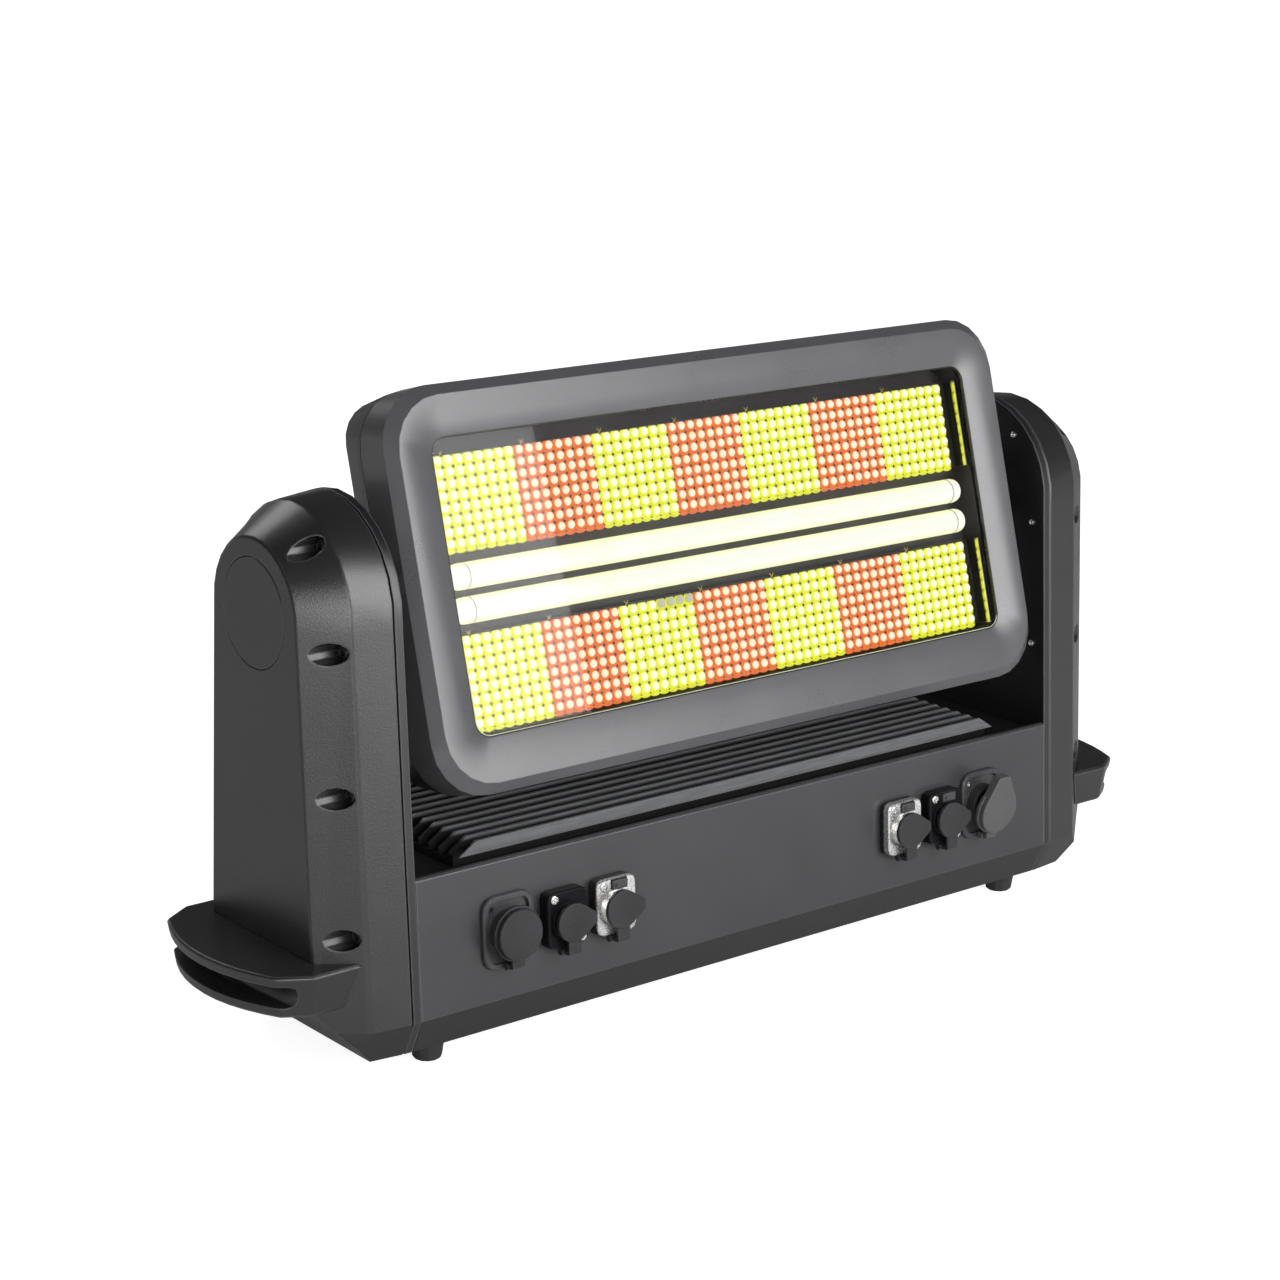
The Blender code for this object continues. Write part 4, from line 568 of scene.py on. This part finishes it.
def lens_material(name, colour, tip, front):
    """A lit lens: saturated at its rim and pale at its crown, by how far it stands off the board."""
    made, tree, shader = new_material(name)
    split = add(tree, "ShaderNodeSeparateXYZ", Vector=place(tree))
    height = add(
        tree, "ShaderNodeMapRange", Value=split.outputs["Y"], _1=front, _2=front - LENS_RISE
    )
    tone = ramp(tree, height.outputs["Result"], (0.0, colour), (0.30, colour), (0.57, tip))
    lit(shader, tree, tone, 1.0)
    shader.inputs["Roughness"].default_value = 0.25
    shader.inputs["Specular IOR Level"].default_value = 0.25
    return made


def tube_material(name, middle, radius):
    """A lit tube, near white along its middle and a little yellow towards its edges, where the yellow is
    painted light from the LEDs beside it.
    """
    made, tree, shader = new_material(name)
    split = in_head_frame(tree)
    off = math_node(tree, "ABSOLUTE", math_node(tree, "SUBTRACT", split.outputs["Z"], middle))
    share = math_node(tree, "DIVIDE", off, radius)
    streak = noise(tree, 30.0, 2.0)
    core = ramp(tree, streak.outputs["Fac"], (0.3, TUBE_LIGHT), (0.7, (1.0, 1.0, 0.93)))
    # The yellow towards the edges is painted light from the yellow LEDs.
    edge = ramp(tree, share, (0.55, 0.0), (1.0, 1.0))
    lit(shader, tree, blend(tree, edge, core, (0.92, 0.98, 0.50)), 1.0)
    shader.inputs["Roughness"].default_value = 0.12
    return made


def glass_material():
    made, tree, shader = new_material("clear_glass")
    smudge = noise(tree, 12.0, 3.0)
    rough = ramp(tree, smudge.outputs["Fac"], (0.35, 0.0), (0.75, 0.015))
    tree.links.new(rough, shader.inputs["Roughness"])
    shader.inputs["Base Color"].default_value = (0.97, 0.98, 0.98, 1.0)
    shader.inputs["Transmission Weight"].default_value = 1.0
    shader.inputs["IOR"].default_value = 1.20
    return made


def led_lenses(name, board, wanted, material, unlit=False):
    """The lenses of all LEDs of one colour on one board, in the head's frame."""
    low, high = local_box(board, HEAD)
    middle = (low.z + high.z) / 2
    bm = bmesh.new()
    steps = ((1.0, -0.02), (0.94, 0.40), (0.74, 0.74), (0.40, 0.94), (0.12, 1.0))
    for row in range(LED_ROWS):
        z = middle + (row - (LED_ROWS - 1) / 2) * LED_PITCH_Z
        for column in range(LED_COLUMNS):
            off = board == "led_board_lower" and row == LED_ROWS - 1 and column in UNLIT_COLUMNS
            if (column // BLOCK_COLUMNS) % 2 != wanted or off != unlit:
                continue
            x = (column - (LED_COLUMNS - 1) / 2) * LED_PITCH_X
            spot = Matrix.Translation((x, low.y, z)) @ Matrix.Rotation(math.pi / 2, 4, "X")
            loft(bm, [
                round_loop(spot, LENS_RADIUS * share, LENS_RISE * rise, 12) for share, rise in steps
            ])
    piece(f"{board}_{name}", bm, material, "head", HEAD)


def board_lobes():
    """The lit scalloped edge that shows under each board's last row of LEDs."""
    made, tree, shader = new_material("board_lobes")
    split = add(tree, "ShaderNodeSeparateXYZ", Vector=place(tree))
    across = math_node(tree, "DIVIDE", split.outputs["X"], LED_PITCH_X * BLOCK_COLUMNS)
    column = math_node(tree, "ADD", across, LED_COLUMNS / BLOCK_COLUMNS / 2)
    block = math_node(tree, "GREATER_THAN", math_node(tree, "MODULO", column, 2.0), 1.0)
    grain = noise(tree, 400.0, 2.0)
    uneven = ramp(tree, grain.outputs["Fac"], (0.3, 0.80), (0.7, 1.0))
    colour = blend(tree, block, YELLOW, ORANGE)
    lit(shader, tree, blend(tree, uneven, (0.0, 0.0, 0.0), colour), 0.9)
    for board in LED_BOARDS:
        low = local_box(board, HEAD)[0]
        bm = bmesh.new()
        steps = 8
        start = -LED_PITCH_X * LED_COLUMNS / 2
        pairs = []
        for step in range(LED_COLUMNS * steps + 1):
            x = start + step * LED_PITCH_X / steps
            swell = abs(math.sin(math.pi * step / steps))
            z = low.z - 0.5 * MM - 1.3 * MM * swell ** 0.7
            pairs.append([
                bm.verts.new((x, y, height))
                for y, height in ((low.y, low.z), (low.y, z), (low.y + 0.8 * MM, z),
                                  (low.y + 0.8 * MM, low.z))
            ])
        for first, second in zip(pairs, pairs[1:]):
            for i in range(4):
                j = (i + 1) % 4
                bm.faces.new((first[i], second[i], second[j], first[j]))
        bm.faces.new(pairs[0])
        bm.faces.new(list(reversed(pairs[-1])))
        piece(f"{board}_lobes", bm, made, "head", HEAD)


def light_sources():
    """LED boards with their lenses, and the two tubes between them."""
    for board in LED_BOARDS:
        low, high = local_box(board, HEAD)
        dress(led_board_material(f"{board}_cells", (low.z + high.z) / 2), board)
    board_lobes()
    front = local_box("led_board_upper", HEAD)[0].y
    yellow = lens_material("lens_yellow", YELLOW, YELLOW_TIP, front)
    orange = lens_material("lens_orange", ORANGE, ORANGE_TIP, front)
    # The switched-off lenses still glow in dull olive and grey: painted light from the lit LEDs round
    # them.
    unlit_lens_glow = lens_material("lens_unlit", (0.50, 0.60, 0.10), (0.52, 0.50, 0.46), front)
    for board in LED_BOARDS:
        led_lenses("yellow_lenses", board, 0, yellow)
        led_lenses("orange_lenses", board, 1, orange)
    led_lenses("unlit_lenses", "led_board_lower", 0, unlit_lens_glow, unlit=True)
    for tube in TUBES:
        low, high = local_box(tube, HEAD)
        radius = (high.z - low.z) / 2
        dress(tube_material(f"{tube}_glow", (low.z + high.z) / 2, radius), tube)


def tube_rings():
    """A thin pale ring near each end of the tubes."""
    made = textured("tube_ring", (0.42, 0.43, 0.36), 0.25, grain=800.0, bump=0.05)
    bm = bmesh.new()
    for tube in TUBES:
        low, high = local_box(tube, HEAD)
        radius = (high.z - low.z) / 2
        for side in (-1, 1):
            spot = Matrix.Translation(
                (side * (high.x - 8.5 * MM), (low.y + high.y) / 2, (low.z + high.z) / 2)
            )
            profile = [
                (radius - 0.3 * MM, -0.35 * MM), (radius + 0.12 * MM, -0.35 * MM),
                (radius + 0.22 * MM, 0.0), (radius + 0.12 * MM, 0.35 * MM),
                (radius - 0.3 * MM, 0.35 * MM),
            ]
            turned_ring(bm, spot @ Matrix.Rotation(math.pi / 2, 4, "Y"), profile, 24)
    piece("tube_end_rings", bm, made, "head", HEAD)


def rounded_loop(half_x, low_z, high_z, corner, y, steps=6):
    """A rounded rectangle in the head's x and z, as points at one depth."""
    points = []
    for index, (sx, z) in enumerate(((1, high_z), (-1, high_z), (-1, low_z), (1, low_z))):
        sz = 1 if z == high_z else -1
        for step in range(steps + 1):
            angle = math.pi / 2 * (index + step / steps)
            points.append(Vector((
                sx * (half_x - corner) + corner * math.cos(angle), y,
                z - sz * corner + corner * math.sin(angle),
            )))
    return points


def window_opening():
    """Half width, bottom and top of the window's opening, in the head's frame."""
    low, high = local_box("front_glass", HEAD)
    return high.x - GLASS_REBATE, low.z + GLASS_REBATE, high.z - GLASS_REBATE


def window_gasket():
    """A thin dark lip round the opening, just in front of the glass."""
    half, bottom, top = window_opening()
    front = local_box("front_glass", HEAD)[0].y
    bm = bmesh.new()
    loops = []
    for inset, y in ((0.0, -1.9), (0.55, -1.9), (0.75, -1.6), (0.75, -0.15), (0.0, -0.15)):
        loops.append(rounded_loop(
            half - inset * MM, bottom + inset * MM, top - inset * MM, WINDOW_CORNER - inset * MM,
            front + y * MM,
        ))
    loft(bm, loops + [loops[0]], caps=False)
    bmesh.ops.remove_doubles(bm, verts=bm.verts, dist=1e-7)
    trim = textured("window_trim", (0.016, 0.017, 0.012), 0.25, grain=700.0, bump=0.05)
    piece("window_gasket", bm, trim, "head", HEAD)


def window_edge_highlight():
    """A thin pale line along the opening's lower edge and round its lower corners: a painted highlight
    where the glass edge catches the light.
    """
    half, bottom, top = window_opening()
    front = local_box("front_glass", HEAD)[0].y
    inset = 0.9 * MM
    edge = rounded_loop(
        half - inset, bottom + inset, top, WINDOW_CORNER - inset, front - 1.85 * MM
    )
    turn = 2 * (len(edge) // 4)
    start = Vector((edge[turn].x, edge[turn].y, bottom + 34 * MM))
    # A pale strip that stands in for the glass edge's highlight: painted light.
    highlight_line = textured("painted_glass_edge_highlight", (0.62, 0.66, 0.48), 0.18, grain=500.0, bump=0.05)
    bm = bmesh.new()
    swept(bm, [start] + edge[turn:-1], 0.22 * MM, 6)
    piece("window_edge_highlight", bm, highlight_line, "head", HEAD)


def window_side_walls():
    """A polished plate beside each end of both LED boards, which mirrors the last LEDs."""
    half = window_opening()[0]
    back = local_box("front_glass", HEAD)[1].y
    mirror = brushed("polished_wall", (0.90, 0.90, 0.86), 0.12, "Z")
    bm = bmesh.new()
    for board in LED_BOARDS:
        low, high = local_box(board, HEAD)
        near, far = back + 0.5 * MM, high.y - 0.4 * MM
        for side in (-1, 1):
            x = side * (half - 2.1 * MM)
            inner = x - side * 0.5 * MM
            outline = [
                (x, near), (x, far), (inner, far), (inner, near + 0.3 * MM),
                (inner + side * 0.2 * MM, near),
            ]
            loft(bm, [[Vector((px, py, z)) for px, py in outline] for z in (low.z, high.z)])
    piece("window_side_walls", bm, mirror, "head", HEAD)


def board_clips():
    """A small brass wire clip over the upper edge of each block of LEDs."""
    brass = textured("clip_wire", (0.55, 0.46, 0.16), 0.30, grain=500.0, bump=0.05, metallic=0.9)
    bm = bmesh.new()
    for board in LED_BOARDS:
        low, high = local_box(board, HEAD)
        for index in range(LED_COLUMNS // BLOCK_COLUMNS):
            x = low.x + 5.5 * MM + index * BLOCK_COLUMNS * LED_PITCH_X
            for lean in (-1, 1):
                clip_wire(bm, Vector((x, low.y, high.z - 0.6 * MM)), lean)
    piece("board_clips", bm, brass, "head", HEAD)


def swept(bm, path, radius, sides):
    """A thin round rod along a path in the head's x and z."""
    loops = []
    for index, point in enumerate(path):
        before, after = path[max(index - 1, 0)], path[min(index + 1, len(path) - 1)]
        along = (after - before).normalized()
        out = Vector((0, 1, 0))
        across = along.cross(out)
        loops.append([
            point + radius * (math.cos(turn) * across + math.sin(turn) * out)
            for turn in (2 * math.pi * i / sides for i in range(sides))
        ])
    loft(bm, loops)


def clip_wire(bm, start, lean):
    """One bent leg of a wire clip, as a thin square rod from the board to above its edge."""
    half = 0.22 * MM
    points = [
        start, start + Vector((0, -0.9, 0.1)) * MM, start + Vector((lean * 0.5, -1.2, 0.9)) * MM,
        start + Vector((lean * 1.2, -0.9, 2.0)) * MM,
    ]
    loops = []
    for point in points:
        loops.append([
            point + Vector((sx * half, 0, sz * half)) for sx, sz in ((-1, -1), (1, -1), (1, 1), (-1, 1))
        ])
    loft(bm, loops)


def pocket_places():
    """(y, z) of the screw pockets on both sides of an arm."""
    places = [(POCKET_CIRCLE * math.cos(POCKET_ARCH), POCKET_CIRCLE * math.sin(POCKET_ARCH))]
    for row in range(POCKET_ROWS):
        drop = POCKET_DROP + row * POCKET_PITCH
        places.append((POCKET_CIRCLE + POCKET_LEAN * drop, -drop))
    return [(AXIS.y + end * y, AXIS.z + z) for end in (-1, 1) for y, z in places]


def arm_screws():
    """Black screws at the bottom of the arm pockets, and their bright ends on the inner plates."""
    for side, name in SIDES:
        outward = Matrix.Rotation(side * math.pi / 2, 4, "Y")
        inward = Matrix.Rotation(-side * math.pi / 2, 4, "Y")
        low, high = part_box(f"arm_cover_{name}")
        floor = (low.x if side < 0 else high.x) - side * POCKET_FLOOR_IN
        places = [Matrix.Translation((floor, y, z)) @ outward for y, z in pocket_places()]
        screws(f"pocket_screws_{name}", places, 4.4 * MM, 3.2 * MM, OXIDE, "hex")
        low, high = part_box(f"arm_plate_{name}")
        face = high.x if side < 0 else low.x
        places = [Matrix.Translation((face, y, z)) @ inward for y, z in pocket_places()]
        screws(f"plate_screws_{name}", places, 1.9 * MM, 1.3 * MM, ZINC)


def connector_screws():
    """Screws in opposite corners of the connector flanges, as the standard flange has them."""
    bright = []
    dark = []
    for node in ending("_socket"):
        low, high = local_box(node, PANEL)
        middle = (low + high) / 2
        power = node.startswith("power")
        spread = POWER_SCREWS if power else SMALL_SCREWS
        height = high.z - (POWER_COLLAR if power else SMALL_COLLAR)
        for end in (-1, 1):
            spot = Vector((middle.x + end * spread[0], middle.y - end * spread[1], height))
            matrix = PANEL @ Matrix.Translation(spot)
            seen = node == "power_out_socket" and end < 0
            group = dark if power and not seen else bright
            group.append((matrix, 1.7 * MM if power else 2.5 * MM))
    for name, group, material in (("bright", bright, ZINC), ("dark", dark, OXIDE)):
        bm = bmesh.new()
        for matrix, radius in group:
            screw(bm, matrix, radius, 0.8 * MM)
        piece(f"flange_screws_{name}", bm, material, "base")


def latch_pins():
    """A small black pivot pin at the left end of each release latch."""
    for node in ending("_latch"):
        low, high = local_box(node, PANEL)
        spot = Vector((low.x + 1.9 * MM, (low.y + high.y) / 2, high.z))
        bm = bmesh.new()
        profile = [
            (0.45 * MM, -0.1 * MM), (0.95 * MM, -0.1 * MM), (0.90 * MM, 0.18 * MM),
            (0.60 * MM, 0.22 * MM),
        ]
        turned_ring(bm, PANEL @ Matrix.Translation(spot), profile, 16)
        piece(f"{node}_pin", bm, OXIDE, node)


def control_panel_screws():
    """A dark screw in each corner of the control panel."""
    low, high = local_box("control_panel", REAR_PANEL)
    inset = 4.5 * MM
    places = []
    for x in (low.x + inset, high.x - inset):
        for y in (low.y + inset, high.y - inset):
            places.append(REAR_PANEL @ Matrix.Translation((x, y, high.z)))
    screws("control_panel_screws", places, 1.9 * MM, 0.7 * MM, OXIDE, "hex")


def bottom_screws():
    """Two rows of dark screws along the bottom plate's edges."""
    low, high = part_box("bottom_plate")
    under = Matrix.Rotation(math.pi, 4, "X")
    places = []
    for x in (-0.155, -0.05, 0.05, 0.155):
        for y in (low.y + 8 * MM, high.y - 8 * MM):
            places.append(Matrix.Translation((x, y, low.z)) @ under)
    screws("bottom_screws", places, 2.6 * MM, 0.9 * MM, OXIDE)


light_sources()
dress(glass_material(), "front_glass")
tube_rings()
window_gasket()
window_edge_highlight()
window_side_walls()
board_clips()
arm_screws()
connector_screws()
latch_pins()
control_panel_screws()
bottom_screws()


def stage_floor():
    """Pale floor that keeps the object's shadow and reads white behind it."""
    bm = bmesh.new()
    bmesh.ops.create_grid(bm, x_segments=1, y_segments=1, size=30.0)
    mesh = bpy.data.meshes.new("floor")
    bm.to_mesh(mesh)
    bm.free()
    floor = bpy.data.objects.new("floor", mesh)
    bpy.context.scene.collection.objects.link(floor)
    made, tree, shader = new_material("floor_white")
    shader.inputs["Base Color"].default_value = (0.72, 0.72, 0.72, 1.0)
    shader.inputs["Roughness"].default_value = 0.9
    shader.inputs["Specular IOR Level"].default_value = 0.0
    white = add(tree, "ShaderNodeEmission", Color=(1, 1, 1, 1), Strength=seen_share(tree, 0.87, 0.08))
    both = add(tree, "ShaderNodeAddShader", _0=shader.outputs[0], _1=white.outputs[0])
    tree.links.new(both.outputs[0], tree.nodes["Material Output"].inputs["Surface"])
    mesh.materials.append(made)


def seen_share(tree, by_camera, by_gloss):
    """A level for what the camera sees, one for gloss and glass, and none for other light."""
    path = tree.nodes.new("ShaderNodeLightPath")
    gloss = math_node(
        tree, "MAXIMUM", path.outputs["Is Glossy Ray"], path.outputs["Is Transmission Ray"]
    )
    return math_node(
        tree, "MAXIMUM", math_node(tree, "MULTIPLY", path.outputs["Is Camera Ray"], by_camera),
        math_node(tree, "MULTIPLY", gloss, by_gloss),
    )


def world_light(level, ceiling):
    """A dim even room, with a white background; gloss and glass see it fade to a dim ceiling."""
    world = bpy.data.worlds.new("studio")
    bpy.context.scene.world = world
    world.use_nodes = True
    tree = world.node_tree
    room = tree.nodes["Background"]
    room.inputs["Color"].default_value = (1, 1, 1, 1)
    room.inputs["Strength"].default_value = level
    towards = add(
        tree, "ShaderNodeSeparateXYZ", Vector=tree.nodes.new("ShaderNodeTexCoord").outputs["Generated"]
    )
    fade = add(
        tree, "ShaderNodeMapRange", Value=towards.outputs["Z"], _1=0.0, _2=0.10, _3=1.0, _4=ceiling
    )
    camera_ray = tree.nodes.new("ShaderNodeLightPath").outputs["Is Camera Ray"]
    brightness = math_node(tree, "MAXIMUM", camera_ray, fade.outputs["Result"])
    white = add(tree, "ShaderNodeBackground", Color=(1, 1, 1, 1), Strength=brightness)
    mix = add(
        tree, "ShaderNodeMixShader", _0=seen_share(tree, 1.0, 1.0), _1=room.outputs[0],
        _2=white.outputs[0],
    )
    tree.links.new(mix.outputs[0], tree.nodes["World Output"].inputs["Surface"])


def softbox(name, bearing, distance, height, size, level):
    """A rectangular lamp that faces the object; bearing is from the front, towards +x."""
    aim = Vector((0, 0, 0.18))
    angle = math.radians(bearing)
    light = bpy.data.lights.new(name, "AREA")
    light.shape = "RECTANGLE"
    light.size, light.size_y = size
    light.energy = level * math.pi * size[0] * size[1]
    item = bpy.data.objects.new(name, light)
    bpy.context.scene.collection.objects.link(item)
    item.location = (distance * math.sin(angle), -distance * math.cos(angle), height)
    facing = aim - item.location
    item.rotation_euler = facing.to_track_quat("-Z", "Y").to_euler()


def camera():
    """The photograph's camera, fitted to the object's edges."""
    yaw, pitch, roll = 0.68061, 0.26364, 0.01140
    spot = (-1.01005, AXIS.y - 1.20896, 0.60739)
    focal_pixels, middle_row, picture_side = 2907.374, 634.78, 1280
    ahead = Vector((
        math.sin(yaw) * math.cos(pitch), math.cos(yaw) * math.cos(pitch), -math.sin(pitch)
    ))
    right = Vector((math.cos(yaw), -math.sin(yaw), 0))
    up = right.cross(ahead)
    across = right * math.cos(roll) + up * math.sin(roll)
    upwards = -right * math.sin(roll) + up * math.cos(roll)
    data = bpy.data.cameras.new("camera")
    data.sensor_width = 36.0
    data.lens = focal_pixels * data.sensor_width / picture_side
    data.shift_y = (middle_row - picture_side / 2) / picture_side
    data.clip_end = 100
    item = bpy.data.objects.new("camera", data)
    bpy.context.scene.collection.objects.link(item)
    turn = Matrix((across, upwards, -ahead)).transposed().to_4x4()
    item.matrix_world = Matrix.Translation(spot) @ turn
    bpy.context.scene.camera = item


stage_floor()
world_light(0.23, 0.05)
softbox("key", 17.2, 2.2, 0.97, (1.40, 1.90), 6.0)
softbox("fill", -31, 2.6, 0.62, (0.90, 1.15), 6.7)
softbox("back", 190, 2.1, 1.80, (1.20, 1.10), 2.6)
camera()
bpy.context.scene.view_settings.view_transform = "Standard"
